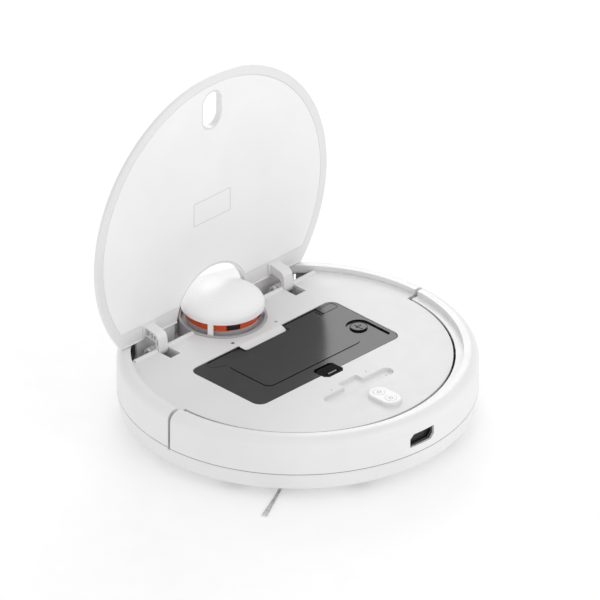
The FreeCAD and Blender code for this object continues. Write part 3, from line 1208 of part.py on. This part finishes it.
def hinge_arm(side):
    """Curved arm from the lid's underside round the ridge to the hinge pin, drawn in the open pose."""
    def arc(a, b, c):
        return Part.Arc(V(0, *a), V(0, *b), V(0, *c)).toShape()

    def line(a, b):
        return Part.LineSegment(V(0, *a), V(0, *b)).toShape()

    face_y = HINGE_Y + (LID_UNDER_Z - HINGE_Z)
    root_top = (face_y, HINGE_Z + 23.7)
    brow = (HINGE_Y - 4.6, HINGE_Z + 21.2)
    knee = (HINGE_Y - 10.0, HINGE_Z + 15.2)
    shin = (HINGE_Y - 11.5, HINGE_Z + 3.4)
    low = (HINGE_Y - 1.0, HINGE_Z - 4.3)
    inner_low = (HINGE_Y - 3.2, HINGE_Z + 2.9)
    inner_shin = (HINGE_Y - 6.6, HINGE_Z + 6.2)
    inner_knee = (HINGE_Y - 2.4, HINGE_Z + 13.2)
    root_low = (face_y, HINGE_Z + 13.6)
    wire = Part.Wire([
        line(root_low, root_top),
        line(root_top, brow),
        arc(brow, (HINGE_Y - 8.2, HINGE_Z + 19.2), knee),
        line(knee, shin),
        arc(shin, (HINGE_Y - 8.4, HINGE_Z - 3.0), low),
        line(low, inner_low),
        line(inner_low, inner_shin),
        arc(inner_shin, (HINGE_Y - 5.6, HINGE_Z + 11.0), inner_knee),
        line(inner_knee, root_low)])
    arm = Part.Face(wire).extrude(V(ARM_W, 0, 0))
    arm.translate(V(ARM_X - ARM_W / 2, 0, 0))
    boss = rod_x(4.4, ARM_X - ARM_W / 2, ARM_X + ARM_W / 2, HINGE_Y, HINGE_Z)
    plate = box(ARM_X - 9, ARM_X + 9, face_y - 1.4, face_y, HINGE_Z + 13, HINGE_Z + 25.0)
    side_x = ARM_X + ARM_W / 2
    cells = [box(side_x - 4, side_x + 1, HINGE_Y + y0, HINGE_Y + y1, HINGE_Z + z0, HINGE_Z + z1)
             for y0, y1, z0, z1 in ARM_CELLS]
    arm = fuse([arm, boss, plate]).cut(group(cells)).cut(rod_x(HINGE_PIN_R + RUN, 0, 200, HINGE_Y, HINGE_Z))
    return mirror(arm) if side < 0 else arm


def hinge_pins():
    """Steel pins through the arms."""
    half = ARM_SLOT_W / 2 + 4.4
    pin = rod_x(HINGE_PIN_R, ARM_X - half, ARM_X + half, HINGE_Y, HINGE_Z)
    return group([pin, mirror(pin)])


def hinge_brackets():
    """Ears on each side of an arm that hold its pin."""
    ears = []
    for offset in (-1, 1):
        x = ARM_X + offset * (ARM_SLOT_W / 2 + 2.8)
        ear = rod_x(4.2, x - 1.6, x + 1.6, HINGE_Y, HINGE_Z)
        foot = box(x - 1.6, x + 1.6, HINGE_Y - 4.2, HINGE_Y + 4.2, TROUGH_FLOOR_Z + 0.02, HINGE_Z)
        ears.append(fuse([ear, foot]).cut(rod_x(HINGE_PIN_R, x - 5, x + 5, HINGE_Y, HINGE_Z)))
    return group(ears + [mirror(e) for e in ears])


def casing_screws():
    """Screws of one kind, in the deck and in the bottom."""
    return group([deck_screws(), bottom_screws()])


# ---- write every node --------------------------------------------------------------------------------------
NODES = {
    "side_casing": side_casing,
    "bottom_chassis": bottom_chassis,
    "deck_cover": deck_cover,
    "hinge_trough": hinge_trough,
    "casing_screws": casing_screws,
    "bin_bay": bin_bay,
    "wheel_housings": lambda: group([wheel_housing(1), wheel_housing(-1)]),
    "wheel_pivot_pins": wheel_pivot_pins,
    "coil_springs": lambda: group(suspension_springs() + bumper_springs()),
    "caster_socket": caster_socket,
    "brush_bay": brush_bay,
    "brush_guard": brush_guard,
    "brush_motor": brush_motor,
    "side_brush_motor": side_brush_motor,
    "battery_pack": battery_pack,
    "battery_door": battery_door,
    "circuit_boards": lambda: group([main_board(), button_board()]),
    "fan_housing": fan_housing,
    "fan_motor": fan_motor,
    "speaker": speaker,
    "charge_contacts": charge_contacts,
    "cliff_sensors": cliff_sensors,
    "bumper_switches": bumper_switches,
    "button_pad": button_pad,
    "tower_base": tower_base,
    "tower_cap": tower_cap,
    "laser_motor": laser_motor,
    "laser_belt": laser_belt,
    "hinge_pins": hinge_pins,
    "hinge_brackets": hinge_brackets,
    "bumper_shell": bumper_shell,
    "window_frame": window_frame,
    "window_lens": window_lens,
    "power_button": lambda: button(0),
    "home_button": lambda: button(1),
    "turret_drum": turret_drum,
    "turret_lenses": turret_lenses,
    "motor_pulley": motor_pulley,
    "bin_cover": bin_cover,
    "bin_tub": bin_tub,
    "outlet_filter": lambda: group([filter_frame(), filter_pleats()]),
    "bin_latch": bin_latch,
    "water_plug": water_plug,
    "lid_shell": lambda: open_lid(lid_shell()),
    "lid_panel": lambda: open_lid(lid_panel()),
    "hinge_arms": lambda: group([hinge_arm(1), hinge_arm(-1)]),
    "left_wheel_arm": lambda: wheel_arm(1),
    "right_wheel_arm": lambda: wheel_arm(-1),
    "left_wheel_hub": lambda: wheel_hub(1),
    "right_wheel_hub": lambda: wheel_hub(-1),
    "left_wheel_tyre": lambda: wheel_tyre(1),
    "right_wheel_tyre": lambda: wheel_tyre(-1),
    "caster_fork": caster_fork,
    "caster_wheel": caster_wheel,
    "brush_roller": lambda: group([brush_core(), brush_gear()]),
    "brush_bristles": brush_bristles,
    "brush_pinion": brush_pinion,
    "side_brush_hub": side_brush_hub,
    "side_brush_tufts": side_brush_tufts,
    "fan_impeller": fan_impeller,
}

for name, make in NODES.items():
    shape = make()
    if not shape.isValid():
        print("not valid:", name)
    shape.exportStep("parts/" + name + ".step")
print(len(NODES), "nodes written")
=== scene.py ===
import json
import math
import random

import bmesh
import bpy
from mathutils import Euler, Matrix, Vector


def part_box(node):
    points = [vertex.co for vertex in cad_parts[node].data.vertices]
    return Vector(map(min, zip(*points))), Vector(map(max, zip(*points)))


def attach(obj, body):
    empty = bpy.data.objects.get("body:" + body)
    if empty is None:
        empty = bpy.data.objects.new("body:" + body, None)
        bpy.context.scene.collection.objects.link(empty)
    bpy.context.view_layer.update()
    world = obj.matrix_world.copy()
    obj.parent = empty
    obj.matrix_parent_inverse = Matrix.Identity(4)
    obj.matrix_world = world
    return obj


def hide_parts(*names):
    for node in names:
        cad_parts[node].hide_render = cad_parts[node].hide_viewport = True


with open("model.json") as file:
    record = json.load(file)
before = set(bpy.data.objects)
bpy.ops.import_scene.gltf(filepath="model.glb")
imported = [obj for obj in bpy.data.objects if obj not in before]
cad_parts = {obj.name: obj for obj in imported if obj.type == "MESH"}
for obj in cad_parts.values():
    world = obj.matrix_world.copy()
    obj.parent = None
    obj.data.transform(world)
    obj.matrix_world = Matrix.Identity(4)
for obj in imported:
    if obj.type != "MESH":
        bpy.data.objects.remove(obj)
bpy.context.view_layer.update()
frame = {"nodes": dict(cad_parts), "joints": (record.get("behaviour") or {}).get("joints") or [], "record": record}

NODES = frame["nodes"]
MM = 0.001

# ---------------------------------------------------------------- camera
CAMERA_TURN = -44.8        # degrees round the object: 0 looks along +Y
CAMERA_TILT = 30.14        # degrees above the horizon
CAMERA_FAR = 2.2           # metres from the point aimed at
CAMERA_SPAN = 0.5776       # metres across the picture
AIM_RIGHT = 2.7 * MM       # the point aimed at, from the origin along the picture's own sides
AIM_UP = 105.95 * MM


def add_camera():
    """A long-lens view from the front left corner, a third of the way up."""
    turn = Euler((math.radians(90 - CAMERA_TILT), 0, math.radians(CAMERA_TURN)))
    side = turn.to_matrix()
    data = bpy.data.cameras.new("camera")
    data.type = "ORTHO"
    data.ortho_scale = CAMERA_SPAN
    data.clip_end = 20
    camera = bpy.data.objects.new("camera", data)
    camera.rotation_euler = turn
    camera.location = side @ Vector((AIM_RIGHT, AIM_UP, CAMERA_FAR))
    bpy.context.scene.collection.objects.link(camera)
    bpy.context.scene.camera = camera


# ---------------------------------------------------------------- light and floor
FLOOR_SIDE = 12.0
WORLD_WHITE = 0.84
FRONT_LIGHT = ((0.5, -2.3, 1.0), (0, 0, 0.08), 1.5, 9)          # place, aim, side, watts
WINDOW_LIGHT = ((1.65, 1.7, 1.42), (0, 0, 0.06), 1.3, 15)


def area_light(name, spot, aim, side, watts):
    """A square soft box that points at a spot."""
    data = bpy.data.lights.new(name, "AREA")
    data.shape = "SQUARE"
    data.size = side
    data.energy = watts
    light = bpy.data.objects.new(name, data)
    light.location = spot
    light.rotation_euler = (Vector(aim) - Vector(spot)).to_track_quat("-Z", "Y").to_euler()
    bpy.context.scene.collection.objects.link(light)


def add_studio():
    """White world, a soft box in front and one behind on the right, which the dust bin's top mirrors."""
    world = bpy.data.worlds.new("studio")
    world.use_nodes = True
    back = world.node_tree.nodes["Background"]
    back.inputs["Color"].default_value = (1, 1, 1, 1)
    back.inputs["Strength"].default_value = WORLD_WHITE
    bpy.context.scene.world = world
    area_light("front", *FRONT_LIGHT)
    area_light("window", *WINDOW_LIGHT)


def add_floor():
    """A plain pale floor."""
    mesh = bpy.data.meshes.new("floor")
    half = FLOOR_SIDE / 2
    corners = [(-half, -half, 0), (half, -half, 0), (half, half, 0), (-half, half, 0)]
    mesh.from_pydata(corners, [], [(0, 1, 2, 3)])
    floor = bpy.data.objects.new("floor", mesh)
    bpy.context.scene.collection.objects.link(floor)
    paint = Paint("floor_paper")
    grain = paint.noise(40, 3)
    paint.wire(paint.blend(grain, (0.72, 0.72, 0.72), (0.74, 0.74, 0.74)), "Base Color")
    paint.fix(Roughness=0.9, Emission_Color=(1, 1, 1, 1), Emission_Strength=0.3)
    mesh.materials.append(paint.material)


# ---------------------------------------------------------------- materials
class Paint:
    """A procedural material on object coordinates, so that its grain keeps its size on every piece."""

    def __init__(self, name):
        self.material = bpy.data.materials.new(name)
        self.material.use_nodes = True
        self.tree = self.material.node_tree
        self.shader = self.tree.nodes["Principled BSDF"]
        self.coords = self.tree.nodes.new("ShaderNodeTexCoord").outputs["Object"]

    def link(self, start, end):
        self.tree.links.new(start, end)

    def wire(self, output, socket):
        self.link(output, self.shader.inputs[socket])

    def fix(self, **values):
        """Sets sockets of the shader by name, with _ for a space."""
        for key, value in values.items():
            self.shader.inputs[key.replace("_", " ")].default_value = value

    def noise(self, scale, detail=2.0, stretch=None):
        """Noise about 1/scale metres across."""
        node = self.tree.nodes.new("ShaderNodeTexNoise")
        node.inputs["Scale"].default_value = scale
        node.inputs["Detail"].default_value = detail
        source = self.coords
        if stretch:
            mapping = self.tree.nodes.new("ShaderNodeMapping")
            mapping.inputs["Scale"].default_value = stretch
            self.link(source, mapping.inputs["Vector"])
            source = mapping.outputs["Vector"]
        self.link(source, node.inputs["Vector"])
        return node.outputs["Fac"]

    def cells(self, scale):
        """Rounded cells about 1/scale metres across."""
        node = self.tree.nodes.new("ShaderNodeTexVoronoi")
        node.inputs["Scale"].default_value = scale
        self.link(self.coords, node.inputs["Vector"])
        return node.outputs["Distance"]

    def spread(self, value, low, high, from_low=0.3, from_high=0.7):
        """Maps a texture value to low..high."""
        node = self.tree.nodes.new("ShaderNodeMapRange")
        node.inputs["From Min"].default_value = from_low
        node.inputs["From Max"].default_value = from_high
        node.inputs["To Min"].default_value = low
        node.inputs["To Max"].default_value = high
        self.link(value, node.inputs["Value"])
        return node.outputs["Result"]

    def blend(self, value, first, second):
        """A colour between two colours."""
        node = self.tree.nodes.new("ShaderNodeMix")
        node.data_type = "RGBA"
        node.inputs["A"].default_value = (*first, 1)
        node.inputs["B"].default_value = (*second, 1)
        self.link(self.spread(value, 0, 1), node.inputs["Factor"])
        return node.outputs["Result"]

    def relief(self, height, depth_mm, under=None):
        """A bump of a real depth, over another bump if one is given."""
        node = self.tree.nodes.new("ShaderNodeBump")
        node.inputs["Strength"].default_value = 1.0
        node.inputs["Distance"].default_value = depth_mm * MM
        self.link(height, node.inputs["Height"])
        if under:
            self.link(under, node.inputs["Normal"])
        return node.outputs["Normal"]


def shade(colour, factor):
    """The same colour, lighter or darker."""
    return tuple(min(1.0, c * factor) for c in colour)


def moulded(name, colour, rough, grain=1400, depth=0.012, drift=0.02, coat=0.0):
    """Moulded plastic: slow drift of tone, gloss that varies with handling, spark-eroded grain."""
    paint = Paint(name)
    slow = paint.noise(14, 3)
    paint.wire(paint.blend(slow, shade(colour, 1 - drift), shade(colour, 1 + drift)), "Base Color")
    paint.wire(paint.spread(paint.noise(60, 4), rough - 0.04, rough + 0.05), "Roughness")
    wavy = paint.relief(paint.noise(28, 1), 0.05)
    paint.wire(paint.relief(paint.noise(grain, 2), depth, wavy), "Normal")
    paint.fix(IOR=1.49, Coat_Weight=coat, Coat_Roughness=0.08)
    return paint.material


def rubber(name, colour, rough):
    """Moulded rubber: dusty and finely pitted."""
    paint = Paint(name)
    paint.wire(paint.blend(paint.noise(55, 5), shade(colour, 0.75), shade(colour, 1.5)), "Base Color")
    paint.wire(paint.spread(paint.noise(120, 3), rough - 0.08, rough + 0.08), "Roughness")
    paint.wire(paint.relief(paint.cells(1500), 0.03), "Normal")
    paint.fix(IOR=1.45, Sheen_Weight=0.15, Sheen_Roughness=0.5)
    return paint.material


def metal(name, colour, rough, lines=(900, 40, 40)):
    """Turned or drawn metal with fine lines."""
    paint = Paint(name)
    drawn = paint.noise(1, 3, lines)
    paint.wire(paint.blend(drawn, shade(colour, 0.82), shade(colour, 1.1)), "Base Color")
    paint.wire(paint.spread(drawn, rough - 0.08, rough + 0.1), "Roughness")
    paint.wire(paint.relief(drawn, 0.006), "Normal")
    paint.fix(Metallic=1.0)
    return paint.material


def fibre(name, colour):
    """Nylon strands: streaks of light and dark along the bristle."""
    paint = Paint(name)
    paint.wire(paint.blend(paint.noise(260, 4), shade(colour, 0.78), shade(colour, 1.18)), "Base Color")
    paint.wire(paint.spread(paint.noise(400, 2), 0.32, 0.5), "Roughness")
    paint.wire(paint.relief(paint.noise(2500, 2), 0.02), "Normal")
    paint.fix(IOR=1.53, Sheen_Weight=0.2, Sheen_Roughness=0.4)
    return paint.material


def paper(name, colour):
    """Pleated filter paper: short fibres and dust."""
    paint = Paint(name)
    paint.wire(paint.blend(paint.noise(700, 6), shade(colour, 0.9), shade(colour, 1.04)), "Base Color")
    paint.wire(paint.spread(paint.noise(300, 2), 0.85, 0.98), "Roughness")
    paint.wire(paint.relief(paint.noise(1800, 5), 0.05), "Normal")
    return paint.material


def circuit(name, colour):
    """Solder mask over copper tracks."""
    paint = Paint(name)
    tracks = paint.cells(220)
    paint.wire(paint.blend(tracks, shade(colour, 0.7), shade(colour, 1.9)), "Base Color")
    paint.wire(paint.spread(tracks, 0.25, 0.45), "Roughness")
    paint.wire(paint.relief(tracks, 0.04), "Normal")
    return paint.material


def smoky(name, colour, rough, smudge=0.05):
    """Tinted, polished plastic with faint moulding flow and handling marks."""
    paint = Paint(name)
    paint.wire(paint.blend(paint.noise(20, 3), shade(colour, 0.9), shade(colour, 1.12)), "Base Color")
    paint.wire(paint.spread(paint.noise(90, 5), rough, rough + smudge), "Roughness")
    paint.wire(paint.relief(paint.noise(35, 1), 0.02), "Normal")
    paint.fix(IOR=1.39)
    return paint.material


def make_materials():
    """One material for each slot of the record."""
    return {
        "white_shell": moulded("white_shell", (0.81, 0.81, 0.81), 0.36, coat=0.1),
        "deck_white": moulded("deck_white", (0.765, 0.765, 0.767), 0.5),
        # trough_white is the deck's white plastic painted darker: painted shade in the trough
        "trough_white": moulded("trough_white", (0.6, 0.6, 0.605), 0.55),
        "panel_white": moulded("panel_white", (0.91, 0.91, 0.91), 0.5, grain=1000, depth=0.02),
        "bottom_white": moulded("bottom_white", (0.78, 0.78, 0.78), 0.52, grain=900, depth=0.025),
        "inner_grey": moulded("inner_grey", (0.47, 0.47, 0.48), 0.55, depth=0.02),
        "black_plastic": moulded("black_plastic", (0.022, 0.022, 0.024), 0.42, depth=0.02, drift=0.15),
        "gloss_black": smoky("gloss_black", (0.004, 0.004, 0.0045), 0.12),
        "smoky_clear": smoky("smoky_clear", (0.008, 0.008, 0.0085), 0.13, 0.04),
        "smoky_tub": smoky("smoky_tub", (0.06, 0.06, 0.065), 0.2),
        "orange_plastic": smoky("orange_plastic", (0.66, 0.07, 0.012), 0.16),
        "filter_paper": paper("filter_paper", (0.86, 0.85, 0.8)),
        "tyre_rubber": rubber("tyre_rubber", (0.035, 0.035, 0.037), 0.75),
        "hub_plastic": moulded("hub_plastic", (0.28, 0.28, 0.29), 0.5, drift=0.05),
        "grey_rubber": rubber("grey_rubber", (0.33, 0.33, 0.34), 0.6),
        "bristle": fibre("bristle", (0.6, 0.6, 0.6)),
        "dark_bristle": fibre("dark_bristle", (0.05, 0.05, 0.054)),
        "steel": metal("steel", (0.6, 0.6, 0.61), 0.3),
        "contact_metal": metal("contact_metal", (0.75, 0.71, 0.62), 0.2, (60, 60, 900)),
        "motor_can": metal("motor_can", (0.58, 0.58, 0.6), 0.35, (60, 60, 600)),
        "circuit_green": circuit("circuit_green", (0.03, 0.16, 0.07)),
        "battery_wrap": smoky("battery_wrap", (0.05, 0.10, 0.26), 0.3),
        "belt_rubber": rubber("belt_rubber", (0.03, 0.03, 0.03), 0.7),
    }


def paint_nodes(materials):
    """Gives every CAD node its slot's material."""
    for part in frame["record"]["subparts"]:
        slots = NODES[part["node"]].data.materials
        slots.clear()
        slots.append(materials[part["material_slot"]])
    latch_black = moulded("latch_black", (0.006, 0.006, 0.0065), 0.6, depth=0.02, drift=0.2)
    latch_black.node_tree.nodes["Principled BSDF"].inputs["Specular IOR Level"].default_value = 0.05
    own = {"window_frame": moulded("sensor_frame", (0.13, 0.13, 0.135), 0.3, drift=0.1),
           "bin_latch": latch_black,
           # the tower cap is the shell's white painted lighter: painted light from above on the dome
           "tower_cap": moulded("cap_lit_white", (0.93, 0.93, 0.93), 0.36)}
    for node, material in own.items():
        slots = NODES[node].data.materials
        slots.clear()
        slots.append(material)


# ---------------------------------------------------------------- pieces, in millimetres
CORNER_STEPS = 5
BUTTONS = {"power_button": "power_key", "home_button": "home_key"}    # node and the body it rides on
RIB_PLACES = ((22.5, -71), (-25.5, -73), (31, -90), (40, -90))
RIB_DROP = 2.1                 # from the top of the deck's ridge to the deck
# painted seam shadow: height and radius of the dark beads in the seam grooves
SEAM_SHADOW_Z = 29.2
SEAM_SHADOW_R = 0.36
BUMPER_SEAM_R = 174.6
CASING_SEAM_R = 173.6
NOTCH_HALF = 29.6              # finger notch at the bin's rear edge
NOTCH_DEPTH = 9.2
LATCH_HALF = 13.4
LABEL = (-24, 25, 165.5, 189.9)    # sides of the label on the open lid: x, then z


def place(obj, body, slot):
    """Puts a piece in the scene on a body, in a slot's material."""
    bpy.context.scene.collection.objects.link(obj)
    obj.data.materials.append(MATERIALS[slot])
    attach(obj, body)
    return obj


def beads(name, lines, radius, body, slot, closed=False):
    """Fine round beads along lines of points in millimetres."""
    data = bpy.data.curves.new(name, "CURVE")
    data.dimensions = "3D"
    data.bevel_depth = radius * MM
    data.bevel_resolution = 2
    data.use_fill_caps = True
    for line in lines:
        spline = data.splines.new("POLY")
        spline.points.add(len(line) - 1)
        for point, (x, y, z) in zip(spline.points, line):
            point.co = (x * MM, y * MM, z * MM, 1)
        spline.use_cyclic_u = closed
    return place(bpy.data.objects.new(name, data), body, slot)


def arc(x, y, radius, start, end, steps=10):
    """Points on an arc in plan, angles in degrees."""
    turns = [math.radians(start + (end - start) * i / steps) for i in range(steps + 1)]
    return [(x + radius * math.cos(a), y + radius * math.sin(a)) for a in turns]


def rounded_rectangle(x0, x1, y0, y1, radius):
    """Outline in plan with round corners."""
    left, right = x0 + radius, x1 - radius
    low, high = y0 + radius, y1 - radius
    corners = ((right, high, 0), (left, high, 90), (left, low, 180), (right, low, 270))
    return [p for x, y, turn in corners for p in arc(x, y, radius, turn, turn + 90, CORNER_STEPS)]


def at_height(points, z):
    """Points of a plan lifted to a height."""
    return [(x, y, z) for x, y in points]


def box_of(node):
    """A node's lowest and highest corner in millimetres."""
    low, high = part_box(node)
    return [v / MM for v in low], [v / MM for v in high]


def add_button_marks():
    """A power mark on one button and a house on the other."""
    for node, draw in (("power_button", power_mark), ("home_button", house_mark)):
        low, high = box_of(node)
        x = (low[0] + high[0]) / 2
        y = (low[1] + high[1]) / 2
        mark = [at_height(line, high[2] - 0.05) for line in draw(x, y)]
        beads(node + "_mark", mark, 0.22, BUTTONS[node], "hub_plastic")
        rim = arc(x, y, (high[0] - low[0]) / 2 - 0.35, 0, 350, 35)
        beads(node + "_rim", [at_height(rim, high[2] - 0.25)], 0.3, BUTTONS[node], "white_shell", closed=True)


def power_mark(x, y):
    """A ring open at the top with a bar in the gap."""
    return [arc(x, y, 2.1, 120, 420, 20), [(x, y + 0.4), (x, y + 2.8)]]


def house_mark(x, y):
    """A roof over three walls."""
    roof = [(x - 2.4, y), (x, y + 2.2), (x + 2.4, y)]
    walls = [(x - 1.6, y + 0.2), (x - 1.6, y - 2.0), (x + 1.6, y - 2.0), (x + 1.6, y + 0.2)]
    return [roof, walls]


def add_deck_marks():
    """Small moulded ribs beside the tool recess."""
    deck = box_of("deck_cover")[1][2] - RIB_DROP
    ribs = [[(x, y, deck), (x + 1.4, y + 1.6, deck)] for x, y in RIB_PLACES]
    beads("deck_ribs", ribs, 0.3, "chassis", "hub_plastic")


def add_bin_lines():
    """Moulded lines at both ends of the dust bin's rear edge."""
    (left, _, _), (right, rear, top) = box_of("bin_cover")
    z = top - 0.6
    lines = [at_height([(left + 18, rear - 3), (left + 21, rear - 12), (left + 33, rear - 17)], z),
             at_height([(right - 33, rear - 17), (right - 25, rear - 14), (right - 25, rear - 3)], z)]
    beads("bin_strip_lines", lines, 0.35, "dust_bin", "black_plastic")
    strip = rounded_rectangle(right - 23, right - 3, rear - 13, rear - 3, 2.5)
    beads("bin_end_frame", [at_height(strip, z)], 0.35, "dust_bin", "smoky_tub", closed=True)


def add_bin_edge():
    """Dark shadow line between the dust bin and the deck."""
    low, high = box_of("bin_cover")
    rear, front = high[1] - 0.1, low[1] + 0.1
    outline = rounded_rectangle(low[0] + 0.1, high[0] - 0.1, front, rear, 9.7)
    lines = []
    for side in (1, -1):
        corners = sorted([p for p in outline if p[0] * side > 0], key=lambda p: -p[1])
        notch = [(side * NOTCH_HALF, rear - NOTCH_DEPTH), (side * NOTCH_HALF, rear)]
        lines.append(at_height(notch + corners + [(side * LATCH_HALF, front)], high[2] - 0.9))
    beads("bin_edge_line", lines, 0.4, "dust_bin", "black_plastic")


def add_seam_shadows():
    """Dark beads painted as the shadow in the grooves above the casing seam."""
    front = arc(0, 0, BUMPER_SEAM_R, 180.9, 359.1, 90)
    rear = arc(0, 0, CASING_SEAM_R, 0.8, 179.2, 90)
    beads("bumper_seam_shadow", [at_height(front, SEAM_SHADOW_Z)], SEAM_SHADOW_R, "bumper", "hub_plastic")
    beads("casing_seam_shadow", [at_height(rear, SEAM_SHADOW_Z)], SEAM_SHADOW_R, "chassis", "hub_plastic")


def add_plug_details():
    """A grip and a raised rim on the filler plug."""
    low, high = box_of("water_plug")
    x, y, z = (low[0] + high[0]) / 2, (low[1] + high[1]) / 2, high[2]
    rim = arc(x, y, (high[0] - low[0]) / 2 - 0.6, 0, 355, 40)
    beads("plug_rim", [at_height(rim, z - 0.3)], 0.4, "plug", "gloss_black", closed=True)
    beads("plug_grip", [[(x - 3, y, z - 0.1), (x + 3, y, z - 0.1)]], 0.5, "plug", "gloss_black")


def add_latch_slot():
    """A grey bead painted as the highlight on the edge of the latch's finger slot."""
    low, high = box_of("bin_latch")
    y = low[1] + 5.2
    z = high[2] - 0.25
    beads("latch_edge_highlight", [[(-5.4, y, z), (5.4, y, z)]], 0.75, "latch", "hub_plastic")


def add_label_frame():
    """The empty outline of a label on the lid's inner face."""
    y = box_of("lid_panel")[0][1] + 0.05
    outline = rounded_rectangle(*LABEL, 1)
    beads("label_outline", [[(x, y, z) for x, z in outline]], 0.22, "lid", "inner_grey", closed=True)


# ---------------------------------------------------------------- brushes
TUFT_TURNS = (-152, -32, 88)
TUFT_STRANDS = 34
# where a strand runs, in millimetres: from the hub, half width of the tuft, height
BRISTLE_BEND = ((25, 1.5, 4.2), (30, 1.6, 2.4), (35, 1.7, 1.5), (52, 2.1, 1.2), (66, 2.7, 0.8))
TIP_SPREAD = 3.4
TIP_HEIGHT = 0.2
BRUSH_ROWS = 6
BRUSH_STEPS = 110              # strands along a row
BRUSH_WIND = 1.5               # twice the radians that a row turns from its middle to an end
ROOT_R = 8.6
THIN, THICK = 0.35, 0.75       # strand radius in odd and in even rows
TRIANGLE = (0, 2.1, 4.2)       # radians to a strand's three edges


def joint_place(name):
    """A point on a joint's axis, in metres."""
    return next(j for j in frame["joints"] if j["name"] == name)["pos_m"]


def add_side_brush():
    """Three tufts of nylon strands, bent flat where they meet the floor."""
    hub = Vector([v / MM for v in joint_place("side_brush_spin")[:2]])
    floor = box_of("side_brush_tufts")[0][2]
    dice = random.Random(7)
    lines = []
    for turn in TUFT_TURNS:
        along = Vector((math.cos(math.radians(turn)), math.sin(math.radians(turn))))
        across = Vector((-along.y, along.x))
        for _ in range(TUFT_STRANDS):
            side = dice.uniform(-1, 1)
            lift = dice.uniform(0, 1)
            reach = dice.uniform(78.5, 82.3)
            path = []
            for far, spread, height in BRISTLE_BEND + ((reach, TIP_SPREAD, TIP_HEIGHT),):
                spot = hub + along * far + across * side * spread
                path.append((spot.x, spot.y, floor + height * (0.55 + 0.45 * lift) + 0.15))
            lines.append(path)
    tufts = beads("side_brush_strands", lines, 0.13, "side_brush", "bristle")
    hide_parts("side_brush_tufts")


def add_main_brush():
    """Bristle rows wound round the roller in a shallow V, each of single strands."""
    low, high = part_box("brush_bristles")
    _, y0, z0 = joint_place("brush_spin")
    outer = (high[2] - low[2]) / 2 - 0.1 * MM
    inner = ROOT_R * MM
    length = high[0] - low[0] - 1.0 * MM
    dice = random.Random(11)
    mesh = bmesh.new()
    for row in range(BRUSH_ROWS):
        fine = row % 2 == 1
        for step in range(BRUSH_STEPS):
            part = step / (BRUSH_STEPS - 1)
            turn = math.tau * row / BRUSH_ROWS + BRUSH_WIND * abs(part - 0.5)
            x = low[0] + 0.5 * MM + length * part
            for _ in range(2 if fine else 1):
                lean = turn + dice.uniform(-0.04, 0.04)
                tip_x = x + dice.uniform(-0.5, 0.5) * MM
                tip = Vector((tip_x, y0 + outer * math.cos(lean), z0 + outer * math.sin(lean)))
                root = Vector((x, y0 + inner * math.cos(turn), z0 + inner * math.sin(turn)))
                strand(mesh, root, tip, (THIN if fine else THICK) * MM)
    data = bpy.data.meshes.new("main_brush_strands")
    mesh.to_mesh(data)
    mesh.free()
    brush = place(bpy.data.objects.new("main_brush_strands", data), "main_brush", "dark_bristle")
    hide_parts("brush_bristles")


def strand(mesh, root, tip, width):
    """A tapered three-sided strand."""
    along = (tip - root).normalized()
    side = along.orthogonal().normalized()
    up = along.cross(side)
    base = [mesh.verts.new(root + width * (side * math.cos(a) + up * math.sin(a))) for a in TRIANGLE]
    end = [mesh.verts.new(tip + width * 0.6 * (side * math.cos(a) + up * math.sin(a))) for a in TRIANGLE]
    for i in range(3):
        j = (i + 1) % 3
        mesh.faces.new((base[i], base[j], end[j], end[i]))
    mesh.faces.new(end)
    mesh.faces.new(base[::-1])


# ---------------------------------------------------------------- scene
bpy.context.scene.view_settings.view_transform = "Standard"    # the default one greys white plastic
add_camera()
add_studio()
add_floor()
MATERIALS = make_materials()
paint_nodes(MATERIALS)
add_button_marks()
add_deck_marks()
add_bin_lines()
add_bin_edge()
add_seam_shadows()
add_plug_details()
add_latch_slot()
add_label_frame()
add_side_brush()
add_main_brush()
